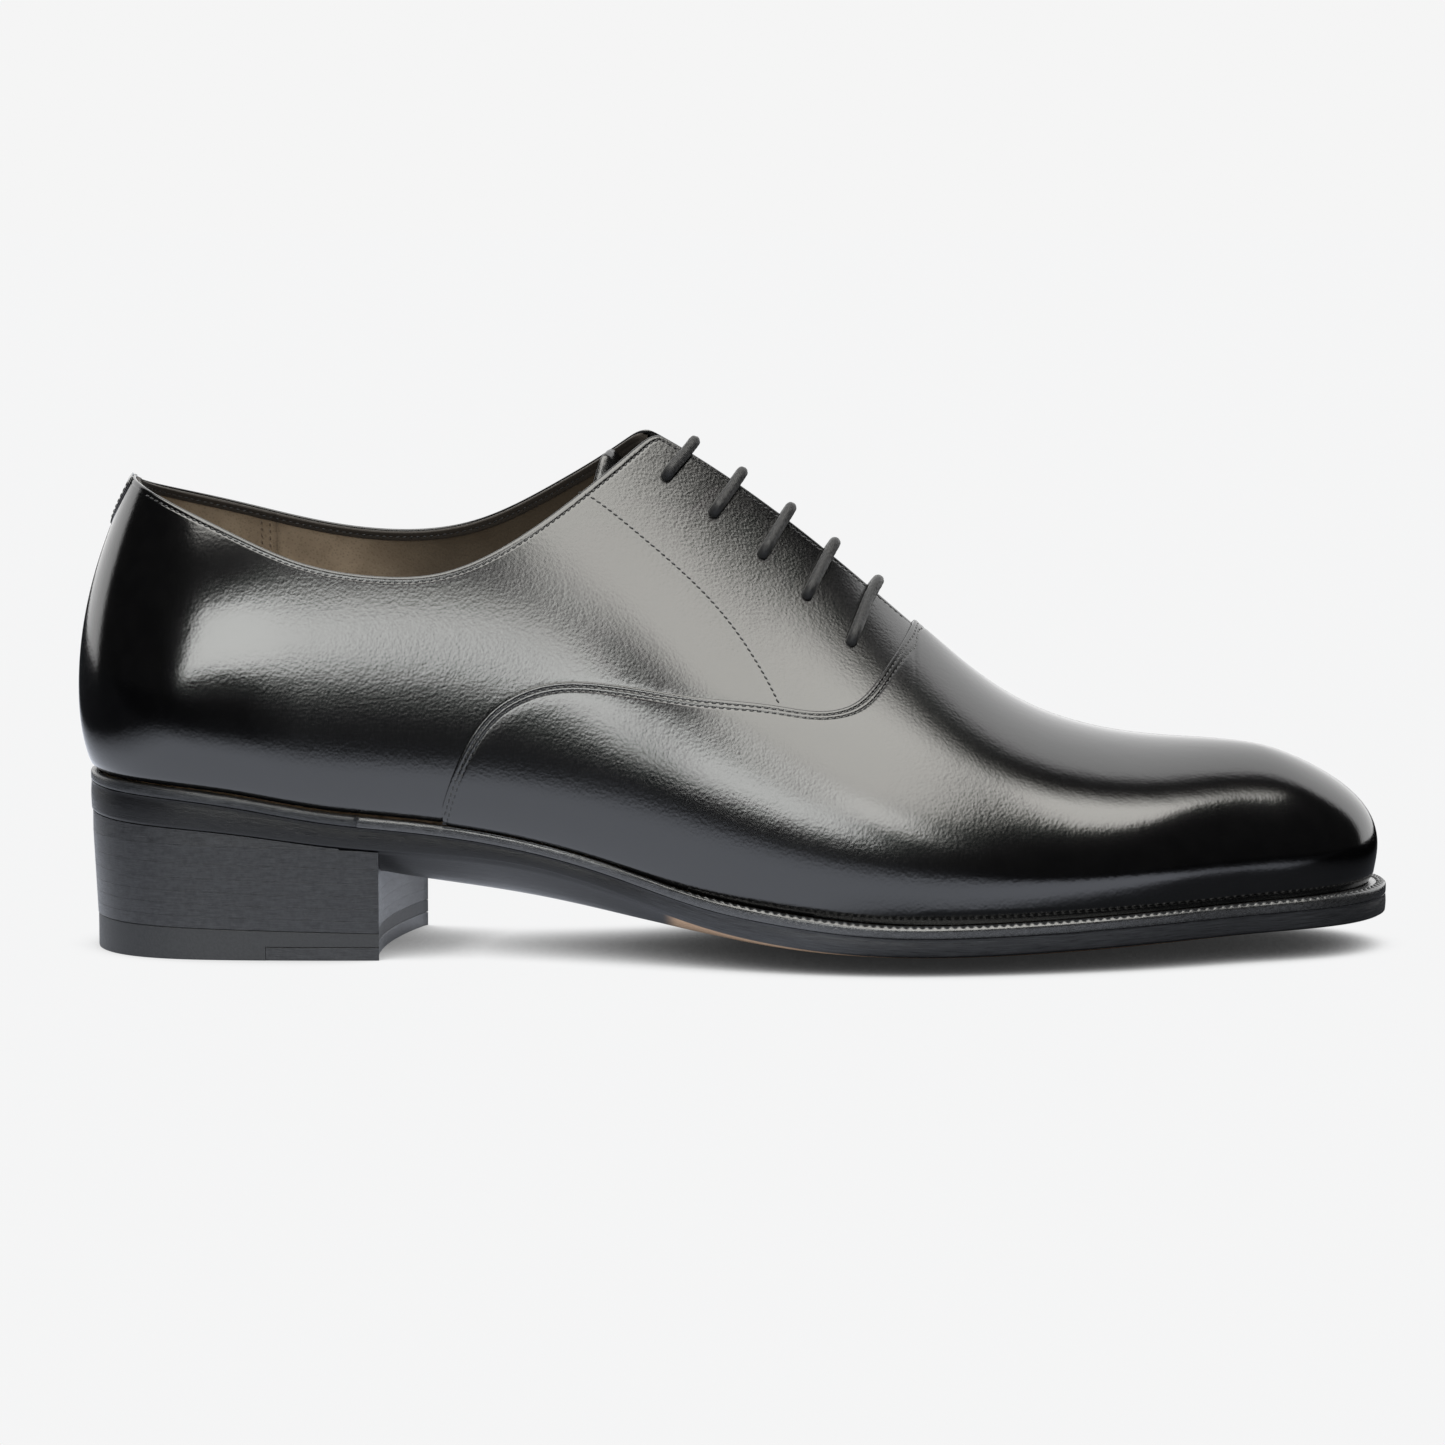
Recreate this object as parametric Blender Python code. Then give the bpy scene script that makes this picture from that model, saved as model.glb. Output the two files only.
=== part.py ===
"""A man's right oxford shoe with a plain toe, about 305 mm long, in metres.

+X points to the toe, +Y to the medial (inner) side and +Z up. The origin is on the floor,
under the middle of the shoe. The design below is in millimetres and is scaled once.
The upper leathers, linings and stiffeners are regions of one reference surface, the last,
each at its own depth. A point of that surface is given by the distance round the last from
the back seam ("lap") and the arc length up from the feather line ("arc").
"""

import math

import bmesh
import bpy
import numpy as np
from mathutils import Matrix, Vector

MM = 0.001
GAP = 0.3

for old in list(bpy.data.objects):
    bpy.data.objects.remove(old, do_unlink=True)

# ---- the last: one closed family of half profiles that fan round a straight spine ----
SPINE_Y = 4.0
HEEL_CENTRE_X = -123.0
TOE_CENTRE_X = 121.0
FAN_RADIUS = 28.0
FAN_BLEND = 30.0
QUARTER_TURN = 0.5 * math.pi * FAN_RADIUS
HALF_LAP = TOE_CENTRE_X - HEEL_CENTRE_X + 2.0 * QUARTER_TURN


def lap_at(x):
    """Distance round the last, from the back seam, of the side station at x."""
    return x - HEEL_CENTRE_X + QUARTER_TURN


# Each station: distance round the last, then the half breadths of the sole edge, the feather
# and the fullest line, the height of the fullest line, how hollow the flank is above it,
# the height of the feather and of the lower edge of the outsole.
BACK = (0.0, 26.8, 26.2, 29.4, 60.0, 0.50, 41.8, 32.2)
TOE = (HALF_LAP, 32.2, 28.0, 29.2, 23.5, 0.10, 15.2, 8.0)
LATERAL = (
    (22.0, 28.3, 27.6, 31.0, 59.0, 0.50, 41.0, 31.4),
    (lap_at(-115.0), 31.0, 30.2, 34.2, 56.0, 0.50, 38.2, 29.3),
    (lap_at(-95.0), 31.8, 31.0, 35.5, 53.0, 0.49, 34.8, 26.8),
    (lap_at(-75.0), 31.6, 30.8, 36.0, 51.0, 0.47, 32.6, 25.0),
    (lap_at(-50.0), 32.2, 31.4, 37.0, 48.0, 0.42, 28.8, 22.6),
    (lap_at(-28.0), 36.5, 35.0, 40.0, 43.0, 0.38, 23.2, 17.0),
    (lap_at(-8.0), 44.5, 41.5, 45.5, 36.0, 0.34, 17.2, 10.4),
    (lap_at(12.0), 52.0, 47.6, 50.0, 29.0, 0.30, 13.7, 6.4),
    (lap_at(34.0), 56.0, 51.4, 53.0, 24.0, 0.27, 11.6, 4.7),
    (lap_at(56.0), 55.0, 50.6, 51.8, 21.5, 0.24, 11.5, 4.6),
    (lap_at(78.0), 50.6, 46.2, 47.2, 21.0, 0.20, 12.2, 5.4),
    (lap_at(101.0), 42.8, 38.6, 39.5, 22.0, 0.16, 13.2, 6.4),
    (lap_at(121.0), 33.8, 29.6, 30.4, 22.8, 0.15, 13.9, 7.0),
    (HALF_LAP - 22.0, 31.6, 27.3, 28.2, 23.3, 0.15, 14.7, 7.6),
)
MEDIAL = (
    (22.0, 28.5, 27.8, 31.0, 59.0, 0.50, 41.0, 31.4),
    (lap_at(-115.0), 32.0, 31.2, 34.6, 57.0, 0.50, 38.4, 29.3),
    (lap_at(-95.0), 32.6, 31.6, 34.5, 56.0, 0.50, 35.2, 26.8),
    (lap_at(-75.0), 30.5, 29.4, 33.0, 57.0, 0.50, 33.2, 25.2),
    (lap_at(-50.0), 25.5, 24.4, 31.5, 58.0, 0.48, 30.6, 23.6),
    (lap_at(-28.0), 24.0, 22.8, 31.5, 55.0, 0.45, 26.6, 19.0),
    (lap_at(-8.0), 28.5, 26.6, 34.5, 47.0, 0.42, 20.4, 12.4),
    (lap_at(12.0), 36.0, 33.0, 38.5, 37.0, 0.38, 15.2, 7.4),
    (lap_at(34.0), 43.5, 39.8, 43.0, 28.0, 0.33, 12.2, 5.0),
    (lap_at(56.0), 47.0, 43.0, 44.8, 23.5, 0.27, 11.6, 4.6),
    (lap_at(78.0), 45.5, 41.6, 42.8, 22.0, 0.21, 12.2, 5.4),
    (lap_at(101.0), 40.2, 36.2, 37.1, 22.5, 0.16, 13.2, 6.4),
    (lap_at(121.0), 33.4, 29.3, 30.1, 22.9, 0.15, 13.9, 7.0),
    (HALF_LAP - 22.0, 31.6, 27.3, 28.2, 23.3, 0.15, 14.7, 7.6),
)
RIDGE = (
    (-150.0, 132.0), (-110.0, 132.0), (-70.0, 132.0), (-40.0, 129.5), (-17.0, 120.2),
    (6.5, 105.2), (25.0, 90.7), (44.0, 73.8), (62.5, 59.0), (81.0, 51.0), (100.0, 47.9), (121.0, 46.2),
)
TOE_SLOPE = -0.16
# How sharply the flanks meet at the ridge: 0.5 is round, 1 is a peaked roof.
PEAK = (
    (-150.0, 0.5), (-75.0, 0.5), (-45.0, 0.65), (-17.0, 0.95), (25.0, 1.0), (44.0, 0.72), (62.0, 0.54),
    (82.0, 0.5), (121.0, 0.5),
)


class Curve:
    """A smooth curve through points, natural at its ends or, with a period, closed."""

    def __init__(self, points, period=None, end_slope=None):
        points = np.array(sorted(points), float)
        x, y = points[:, 0], points[:, 1:]
        if period:
            x = np.concatenate([x - period, x, x + period])
            y = np.concatenate([y, y, y])
        n = len(x)
        h = np.diff(x)
        system = np.zeros((n, n))
        right = np.zeros_like(y)
        system[0, 0] = system[-1, -1] = 1.0
        for i in range(1, n - 1):
            system[i, i - 1 : i + 2] = h[i - 1], 2.0 * (h[i - 1] + h[i]), h[i]
            right[i] = 6.0 * ((y[i + 1] - y[i]) / h[i] - (y[i] - y[i - 1]) / h[i - 1])
        if end_slope is not None:
            system[-1, -2:] = h[-1], 2.0 * h[-1]
            right[-1] = 6.0 * (end_slope - (y[-1] - y[-2]) / h[-1])
        self.x, self.y, self.bend = x, y, np.linalg.solve(system, right)
        self.period = period

    def __call__(self, at):
        at = np.asarray(at, float)
        if self.period:
            at = np.mod(at, self.period)
        else:
            at = np.clip(at, self.x[0], self.x[-1])
        i = np.clip(np.searchsorted(self.x, at) - 1, 0, len(self.x) - 2)
        h = self.x[i + 1] - self.x[i]
        a = ((self.x[i + 1] - at) / h)[..., None]
        b = 1.0 - a
        h = h[..., None]
        bend = ((a**3 - a) * self.bend[i] + (b**3 - b) * self.bend[i + 1]) * h * h / 6.0
        value = a * self.y[i] + b * self.y[i + 1] + bend
        return value[..., 0] if value.shape[-1] == 1 else value


LAP = 2.0 * HALF_LAP
STATION = Curve([BACK, TOE, *LATERAL, *((LAP - row[0], *row[1:]) for row in MEDIAL)], period=LAP)
RIDGE_HEIGHT = Curve(RIDGE, end_slope=TOE_SLOPE)
RIDGE_PEAK = Curve(PEAK)


def ramp(u):
    """A smooth ramp: 0 well before u = 0, and u well after it."""
    v = np.clip((u + FAN_BLEND) / (2.0 * FAN_BLEND), 0.0, 1.0)
    inside = 2.0 * FAN_BLEND * (v**6 - 3.0 * v**5 + 2.5 * v**4)
    return np.where(u > FAN_BLEND, u, inside)


def spine_at(lap):
    """Where the half plane at this distance round the last starts, and which way it points."""
    side = np.where(np.mod(lap, LAP) <= HALF_LAP, -1.0, 1.0)
    half = np.mod(lap, LAP)
    half = np.where(half <= HALF_LAP, half, LAP - half)
    run = ramp(half - QUARTER_TURN) - ramp(half - (HALF_LAP - QUARTER_TURN))
    turn = (half - run) / FAN_RADIUS
    return HEEL_CENTRE_X + run, -np.cos(turn), side * np.sin(turn)


LOW = np.linspace(0.0, 1.0, 60, endpoint=False)
HIGH = np.linspace(0.0, 0.5 * math.pi, 240)


def profile(lap):
    """One half profile: breadths and heights from the feather up to the ridge, and arc lengths."""
    edge, feather, full, full_height, hollow, feather_height, _ = STATION(lap)
    x, forward, _ = spine_at(lap)
    rise = RIDGE_HEIGHT(x) - full_height
    peak = RIDGE_PEAK(x)
    drop = full_height - feather_height
    bend = 2.0 * (peak + hollow) * full / rise**2
    cubic = (full - feather - 0.5 * bend * drop**2) / drop**3
    y = drop * (1.0 - LOW)
    w = np.sin(HIGH)
    breadth = np.concatenate([
        full - 0.5 * bend * y**2 - cubic * y**3,
        full * np.cos(HIGH) ** (2.0 * peak) * (1.0 - hollow * w**2),
    ])
    tilt = TOE_SLOPE * max(float(forward), 0.0) * breadth[len(LOW):] * w**2
    height = np.concatenate([full_height - y, full_height + rise * w + tilt])
    arc = np.concatenate([[0.0], np.cumsum(np.hypot(np.diff(breadth), np.diff(height)))])
    return breadth, height, arc


PROFILES = {}


def profile_of(lap):
    key = round(float(lap) % LAP, 6)
    if key not in PROFILES:
        PROFILES[key] = profile(key)
    return PROFILES[key]



def ridge_arc(lap):
    return float(profile_of(lap)[2][-1])


def skin(lap, arc):
    """The point of the reference surface at a distance round the last and an arc above the feather."""
    breadth, height, arcs = profile_of(lap)
    x, dx, dy = spine_at(lap)
    r = np.interp(arc, arcs, breadth)
    return np.array([x + r * dx, SPINE_Y + r * dy, np.interp(arc, arcs, height)])


def skin_normal(lap, arc):
    step = 0.25
    top = ridge_arc(lap)
    if arc > top - 2.0 * step:
        x, _, _ = spine_at(lap)
        slope = (RIDGE_HEIGHT(x + step) - RIDGE_HEIGHT(x - step)) / (2.0 * step)
        normal = np.array([-slope, 0.0, 1.0])
    else:
        # neighbouring profiles are compared at the same share of their length
        share = arc / top
        around = skin(lap + step, share * ridge_arc(lap + step)) - skin(lap - step, share * ridge_arc(lap - step))
        up = skin(lap, arc + step) - skin(lap, max(arc - step, 0.0))
        normal = np.cross(around, up)
    return normal / np.linalg.norm(normal)


def off(lap, arc, distance):
    return skin(lap, arc) + distance * skin_normal(lap, arc)


def arc_of_height(lap, height):
    """The arc at a height, running on past the ridge so that edges can cross it smoothly."""
    _, heights, arc = profile_of(lap)
    beyond = max(height - heights[-1], 0.0)
    return float(np.interp(height, heights, arc)) + 2.0 * beyond


# ---- edges of the leathers ----
FACING_GAP = 0.6
CORNER = 1.0
LATERAL_TOPLINE = Curve([
    (0.0, 110.2), (22.0, 108.0), (lap_at(-118.0), 99.6), (lap_at(-100.0), 92.0), (lap_at(-82.0), 88.6),
    (lap_at(-66.0), 89.4), (lap_at(-48.0), 97.6), (lap_at(-32.0), 109.0), (lap_at(-20.0), 118.6),
    (lap_at(-8.0), 129.0),
])
MEDIAL_TOPLINE = Curve([
    (0.0, 110.2), (22.0, 107.4), (lap_at(-117.0), 102.3), (lap_at(-98.0), 97.8), (lap_at(-79.0), 95.6),
    (lap_at(-60.0), 98.2), (lap_at(-41.0), 107.6), (lap_at(-22.0), 120.4), (lap_at(-10.0), 131.0),
])
# Heights of the vamp's upper edge, of the quarters' hidden lower edge, and of the joint
# between the quarter linings and the vamp lining, all against x.
VAMP_START, VAMP_THROAT = -66.0, 43.0
VAMP_EDGE = Curve([
    (-66.0, 36.5), (-64.2, 42.0), (-61.5, 48.5), (-57.0, 55.8), (-50.0, 61.6), (-43.0, 64.2), (-30.0, 64.6),
    (-7.0, 61.4), (10.0, 59.4), (24.0, 58.3), (30.0, 61.0), (35.0, 66.4), (39.0, 71.4), (43.0, 76.6),
])
QUARTER_UNDER = ((-52.0, 0.0), (-48.0, 45.0), (-41.0, 52.5), (-30.0, 54.0), (-7.0, 51.0), (12.0, 49.0),
                 (27.0, 48.0), (35.0, 52.5), (42.0, 61.0), (50.0, 69.0))
LINING_JOINT = ((14.0, 0.0), (17.0, 28.0), (22.0, 42.0), (30.0, 57.0), (38.0, 70.0), (44.0, 77.0))
LINING_BACK = -108.0
FACINGS_BACK = -24.0


def x_of(lap):
    half = lap % LAP
    half = half if half <= HALF_LAP else LAP - half
    return half - QUARTER_TURN + HEEL_CENTRE_X


def edge_arc(lap, height):
    """Where an edge given by a height crosses this profile, never below the feather."""
    return min(arc_of_height(lap, height), ridge_arc(lap))


def top_arc(lap):
    """The topline, which turns a rounded corner into the facing edge."""
    half = lap % LAP
    line = LATERAL_TOPLINE(half) if half <= HALF_LAP else MEDIAL_TOPLINE(LAP - half)
    a = arc_of_height(lap, float(line))
    b = ridge_arc(lap) - FACING_GAP
    if x_of(lap) > -8.0:
        return b
    return min(a, b) - CORNER * math.log(1.0 + math.exp(-abs(a - b) / CORNER))


def smooth(value):
    value = min(max(value, 0.0), 1.0)
    return value * value * (3.0 - 2.0 * value)


# ---- depths, outwards from the reference surface ----
VAMP_OUT, VAMP_IN = 0.95, 0.0
LEATHER = 1.0
TUCK = 0.65
LINING_TOP, LINING_MAIN, LINING_HEEL = -1.3, -2.05, -3.0
LINING = 0.7


def quarter_depth(lap, arc):
    """The quarter's face, which dips where it passes under the vamp."""
    x = x_of(lap)
    if x < VAMP_START - 2.0:
        return 0.0
    edge = edge_arc(lap, float(VAMP_EDGE(max(x, VAMP_START))))
    across = (edge - arc) / 1.5 + 1.0
    along = (x - VAMP_START + 1.5) / 1.5
    return -TUCK * smooth(across) * smooth(along)


def lining_depth(lap, arc):
    """The lining meets the leather at the topline and passes behind the heel counter."""
    x = x_of(lap)
    behind = smooth((-48.0 - x) / 14.0)
    low = LINING_MAIN + (LINING_HEEL - LINING_MAIN) * behind
    drop = top_arc(lap) - arc if x < VAMP_THROAT else 99.0
    low += (LINING_TOP - low) * (1.0 - smooth((drop - 3.0) / 16.0)) * smooth((-14.0 - x) / 10.0)
    return low + quarter_depth(lap, arc)


# ---- mesh building ----
SUBPARTS = {}


def material(name, colour, roughness, metallic=0.0):
    if name not in SUBPARTS:
        made = bpy.data.materials.new(name)
        made.use_nodes = True
        shader = made.node_tree.nodes["Principled BSDF"]
        shader.inputs["Base Color"].default_value = (*colour, 1.0)
        shader.inputs["Roughness"].default_value = roughness
        shader.inputs["Metallic"].default_value = metallic
        SUBPARTS[name] = made
    return SUBPARTS[name]


def black_leather():
    return material("polished_black_calf", (0.012, 0.012, 0.013), 0.22)


def lining_leather():
    return material("taupe_lining_leather", (0.20, 0.165, 0.125), 0.55)


def edge_leather():
    return material("waxed_black_edge", (0.02, 0.02, 0.02), 0.35)


def stack_leather():
    return material("waxed_stacked_leather", (0.025, 0.024, 0.023), 0.4)


def bare_leather():
    return material("bare_vegetable_leather", (0.45, 0.28, 0.15), 0.7)


def stiffener():
    return material("leather_board", (0.38, 0.27, 0.17), 0.8)


def cork():
    return material("cork", (0.42, 0.27, 0.14), 0.9)


def rubber():
    return material("black_rubber", (0.018, 0.018, 0.019), 0.6)


def steel():
    return material("spring_steel", (0.55, 0.56, 0.58), 0.35, 1.0)


def black_steel():
    return material("aglet_steel", (0.10, 0.10, 0.11), 0.35, 1.0)


def brass():
    return material("brass", (0.62, 0.45, 0.18), 0.35, 1.0)


def waxed_cord():
    return material("waxed_black_cord", (0.02, 0.02, 0.021), 0.55)


def add_object(name, mesh_builder, paint, location=(0.0, 0.0, 0.0), sharp=35.0):
    """Turns a bmesh in millimetres into a named object in metres."""
    bmesh.ops.remove_doubles(mesh_builder, verts=mesh_builder.verts, dist=1e-4)
    bmesh.ops.dissolve_degenerate(mesh_builder, edges=mesh_builder.edges, dist=1e-4)
    bmesh.ops.recalc_face_normals(mesh_builder, faces=mesh_builder.faces)
    origin = Vector(location)
    for vertex in mesh_builder.verts:
        vertex.co = (vertex.co - origin) * MM
    mesh = bpy.data.meshes.new(name)
    mesh_builder.to_mesh(mesh)
    mesh_builder.free()
    mesh.shade_smooth()
    mesh.set_sharp_from_angle(angle=math.radians(sharp))
    mesh.materials.append(paint)
    made = bpy.data.objects.new(name, mesh)
    made.location = origin * MM
    bpy.context.scene.collection.objects.link(made)
    return made


def double_grid(outer, inner, zipped=None, ring=False):
    """A closed solid between two grids of points; zipped columns have no rim along their last row."""
    columns, rows = len(outer), len(outer[0])
    zipped = zipped or [False] * columns
    built = bmesh.new()
    front = [[built.verts.new(point) for point in column] for column in outer]
    back = [[built.verts.new(point) for point in column] for column in inner]
    for i in range(columns if ring else columns - 1):
        j = (i + 1) % columns
        for k in range(rows - 1):
            built.faces.new((front[i][k], front[j][k], front[j][k + 1], front[i][k + 1]))
            built.faces.new((back[i][k + 1], back[j][k + 1], back[j][k], back[i][k]))
        built.faces.new((front[j][0], front[i][0], back[i][0], back[j][0]))
        if not (zipped[i] and zipped[j]):
            built.faces.new((front[i][-1], front[j][-1], back[j][-1], back[i][-1]))
    if not ring:
        for i, way in ((0, 1), (columns - 1, -1)):
            for k in range(rows - 1):
                loop = (front[i][k], front[i][k + 1], back[i][k + 1], back[i][k])
                built.faces.new(loop[::way])
    return built


def clear_end(lap, arc, depth, clearance):
    """Stops a layer of the facings short of the middle plane, where the two sides meet."""
    way = -1.0 if lap % LAP < HALF_LAP else 1.0
    while way * (off(lap, arc, depth(lap, arc))[1] - SPINE_Y) < clearance:
        arc -= 0.1
    return arc


def layer(laps, low, high, rows, depth):
    grid = []
    for lap in laps:
        start, end, (_, _, _, _, _, feather_height, _) = low(lap), high(lap), STATION(lap)
        if end < ridge_arc(lap) - 1e-6 and x_of(lap) > FACINGS_BACK:
            end = clear_end(lap, end, depth, GAP)
        column = []
        for arc in rows(lap, start, end):
            point = off(lap, arc, depth(lap, arc))
            point[2] = max(point[2], feather_height)
            column.append(point)
        grid.append(column)
    return grid


def shell(name, paint, laps, low, high, rows, out_depth, in_depth):
    """A layer of the upper: the region between two edges, from one depth to another."""
    outer, inner = (layer(laps, low, high, rows, depth) for depth in (out_depth, in_depth))
    zipped = [high(lap) >= ridge_arc(lap) - 1e-6 for lap in laps]
    return add_object(name, double_grid(outer, inner, zipped), paint)


def level(value):
    return lambda lap, arc: value


def even(count):
    """Rows at even steps from the lower edge to the upper."""
    return lambda lap, start, end: [start + (end - start) * i / count for i in range(count + 1)]


def quarter_rows(lap, start, end):
    """Rows shared by quarters and their linings, with two close ones along the vamp's edge."""
    x = x_of(lap)
    edge = edge_arc(lap, float(VAMP_EDGE(max(x, VAMP_START))))
    edge += (0.38 * end - edge) * smooth((VAMP_START - x) / 9.0)
    edge = min(edge, end - 4.0)
    arcs = [0.0, edge / 3.0, edge / 1.5, edge + 0.1, edge + 1.6]
    arcs += [arcs[-1] + (end - arcs[-1]) * share for share in (0.28, 0.55, 0.8, 1.0)]
    return [max(arc, start) for arc in arcs]


def stations(*spans):
    """Laps of the side stations through spans of x: pairs of (x, number of steps to the next x)."""
    xs = []
    for (start, steps), (end, _) in zip(spans, spans[1:]):
        xs.extend(start + (end - start) * i / steps for i in range(steps))
    xs.append(spans[-1][0])
    return [lap_at(x) for x in xs]


def other_side(laps):
    return [LAP - lap for lap in reversed(laps)]


def whole_lap(count):
    return [LAP * i / count for i in range(count)]


# ---- uppers ----
HEEL_FAN = [7.0, 14.0, 22.0, 30.0, 38.0]
SIDE = [lap_at(x) for x in (
    -121, -108, -99, -90, -81, -73.5, -66, -63.5, -61, -56, -51, -48, -45, -40, -32, -23, -14, -5, 4, 13, 20,
    25, 28.5, 32, 35.5, 39, 41, 43, 47, 51.5, 57, 64, 73, 82, 91)]
TOE_FAN = [lap_at(91.0) + (HALF_LAP - lap_at(91.0)) * i / 9 for i in range(1, 10)]


def side_laps(x_from, x_to):
    return [lap for lap in SIDE if x_from - 0.1 < x_of(lap) < x_to + 0.1]


def round_the_heel(half):
    return [-lap for lap in reversed(half)] + [0.0] + half


def round_the_toe(side_laps):
    half = side_laps + TOE_FAN
    return half + other_side(half)[1:]


def quarter_low(lap):
    x = x_of(lap)
    if x <= QUARTER_UNDER[0][0]:
        return 0.0
    heights = np.array(QUARTER_UNDER)
    return edge_arc(lap, float(np.interp(x, heights[:, 0], heights[:, 1])))


def vamp_high(lap):
    x = x_of(lap)
    if x > VAMP_THROAT - 0.1:
        return ridge_arc(lap)
    return min(edge_arc(lap, float(VAMP_EDGE(x))), ridge_arc(lap) - 0.5)


def joint_arc(lap, shift):
    x = x_of(lap)
    heights = np.array(LINING_JOINT)
    return max(edge_arc(lap, float(np.interp(x, heights[:, 0], heights[:, 1]))) + shift, 0.0)


def build_uppers():
    half = [0.25] + HEEL_FAN + side_laps(-121.0, VAMP_THROAT)
    for side, laps in (("lateral", half), ("medial", other_side(half))):
        shell("quarter_" + side, black_leather(), laps, quarter_low, top_arc, quarter_rows,
              quarter_depth, lambda lap, arc: quarter_depth(lap, arc) - LEATHER)
    shell("vamp", black_leather(), round_the_toe(side_laps(VAMP_START, 91.0)), level_edge(0.0), vamp_high,
          even(6), level(VAMP_OUT), level(VAMP_IN))
    build_heel_tab()


def level_edge(value):
    return lambda lap: value


TAB_HALF_WIDTH, TAB_HEIGHT = 9.5, 13.0


def build_heel_tab():
    """The small tab that covers the top of the back seam, narrowing downwards to a point."""
    laps = [TAB_HALF_WIDTH * (i / 4.0) for i in range(-4, 5)]
    shell("heel_tab", black_leather(), laps,
          lambda lap: top_arc(lap) - TAB_HEIGHT * (1.0 - 0.86 * abs(lap / TAB_HALF_WIDTH) ** 1.3),
          lambda lap: top_arc(lap) - 0.1, even(3), level(GAP + 0.7), level(GAP))


# ---- linings and stiffeners ----
def build_linings():
    def below_top(lap):
        return top_arc(lap) - 0.2

    def under(lap, arc):
        return lining_depth(lap, arc) - LINING

    laps = side_laps(LINING_BACK, 43.0)
    for side, own_laps in (("lateral", laps), ("medial", other_side(laps))):
        shell("quarter_lining_" + side, lining_leather(), own_laps, lambda lap: joint_arc(lap, 0.0), below_top,
              quarter_rows, lining_depth, under)
    heel_laps = HEEL_FAN + [lap_at(-121.0), lap_at(LINING_BACK - 0.4)]
    shell("heel_lining", lining_leather(), round_the_heel(heel_laps), level_edge(0.0), below_top, quarter_rows,
          lining_depth, under)

    def vamp_lining_high(lap):
        if x_of(lap) > 46.9:
            return ridge_arc(lap)
        return min(joint_arc(lap, -0.6), ridge_arc(lap) - 0.8)

    vamp_laps = round_the_toe([lap_at(16.5)] + side_laps(20.0, 91.0))
    shell("vamp_lining", lining_leather(), vamp_laps, level_edge(0.0), vamp_lining_high, even(6),
          level(LINING_MAIN - TUCK), level(LINING_MAIN - TUCK - LINING))

    shell("toe_puff", stiffener(), round_the_toe(side_laps(82.0, 91.0)), level_edge(0.0), ridge_arc, even(6),
          level(-0.7), level(-1.6))
    shell("heel_counter", stiffener(), round_the_heel(HEEL_FAN + side_laps(-121.0, -73.5)), level_edge(0.0),
          lambda lap: 44.0 - 20.0 * smooth((x_of(lap) + 110.0) / 46.0), even(5),
          level(-LEATHER - 0.5), level(-2.4))


# ---- facings, eyelets and lace ----
# The eyelet holes: x, and height on the lateral side. The medial ones lie as far from the ridge.
EYELETS = ((-15.2, 110.0), (-4.2, 101.6), (7.1, 92.2), (17.3, 82.9), (27.4, 72.6))
HOLE_RADIUS, BARREL_RADIUS, BORE_RADIUS, FLANGE_RADIUS = 1.85, 2.3, 1.95, 3.2
LACE_RADIUS = 1.4
RUN_DEPTH = -5.1
BAR_LIFT = LACE_RADIUS + GAP
BAR_LEAD = 5.5


def eyelet_drop(row):
    x, height = EYELETS[row]
    lap = lap_at(x)
    return ridge_arc(lap) - arc_of_height(lap, height)


def on_side(side, x, drop, depth):
    """A point by x, by arc length down from the ridge, and by depth, on either side."""
    lap = lap_at(x)
    lap = lap if side == "lateral" else LAP - lap
    return off(lap, ridge_arc(lap) - drop, depth)


def cylinder(radius, low, high, sides, matrix):
    built = bmesh.new()
    bmesh.ops.create_cone(built, cap_ends=True, segments=sides, radius1=radius, radius2=radius,
                          depth=high - low)
    bmesh.ops.translate(built, verts=built.verts, vec=(0.0, 0.0, 0.5 * (low + high)))
    bmesh.ops.transform(built, matrix=matrix, verts=built.verts)
    return built


def joined(pieces):
    whole = bmesh.new()
    for piece in pieces:
        mesh = bpy.data.meshes.new("piece")
        piece.to_mesh(mesh)
        piece.free()
        whole.from_mesh(mesh)
        bpy.data.meshes.remove(mesh)
    return whole


def cutter(name, built):
    made = add_object(name, built, steel())
    made.hide_render = True
    made.display_type = "WIRE"
    return made


def cut(target, tool):
    modifier = bpy.data.objects[target].modifiers.new(tool.name, "BOOLEAN")
    modifier.operation = "DIFFERENCE"
    modifier.solver = "EXACT"
    modifier.object = tool


def eyelet_matrix(side, row):
    x, _ = EYELETS[row]
    centre = on_side(side, x, eyelet_drop(row), 0.0)
    outward = centre - on_side(side, x, eyelet_drop(row), -1.0)
    turn = Vector(outward).to_track_quat("Z", "Y").to_matrix().to_4x4()
    return Matrix.Translation(Vector(centre)) @ turn


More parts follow.
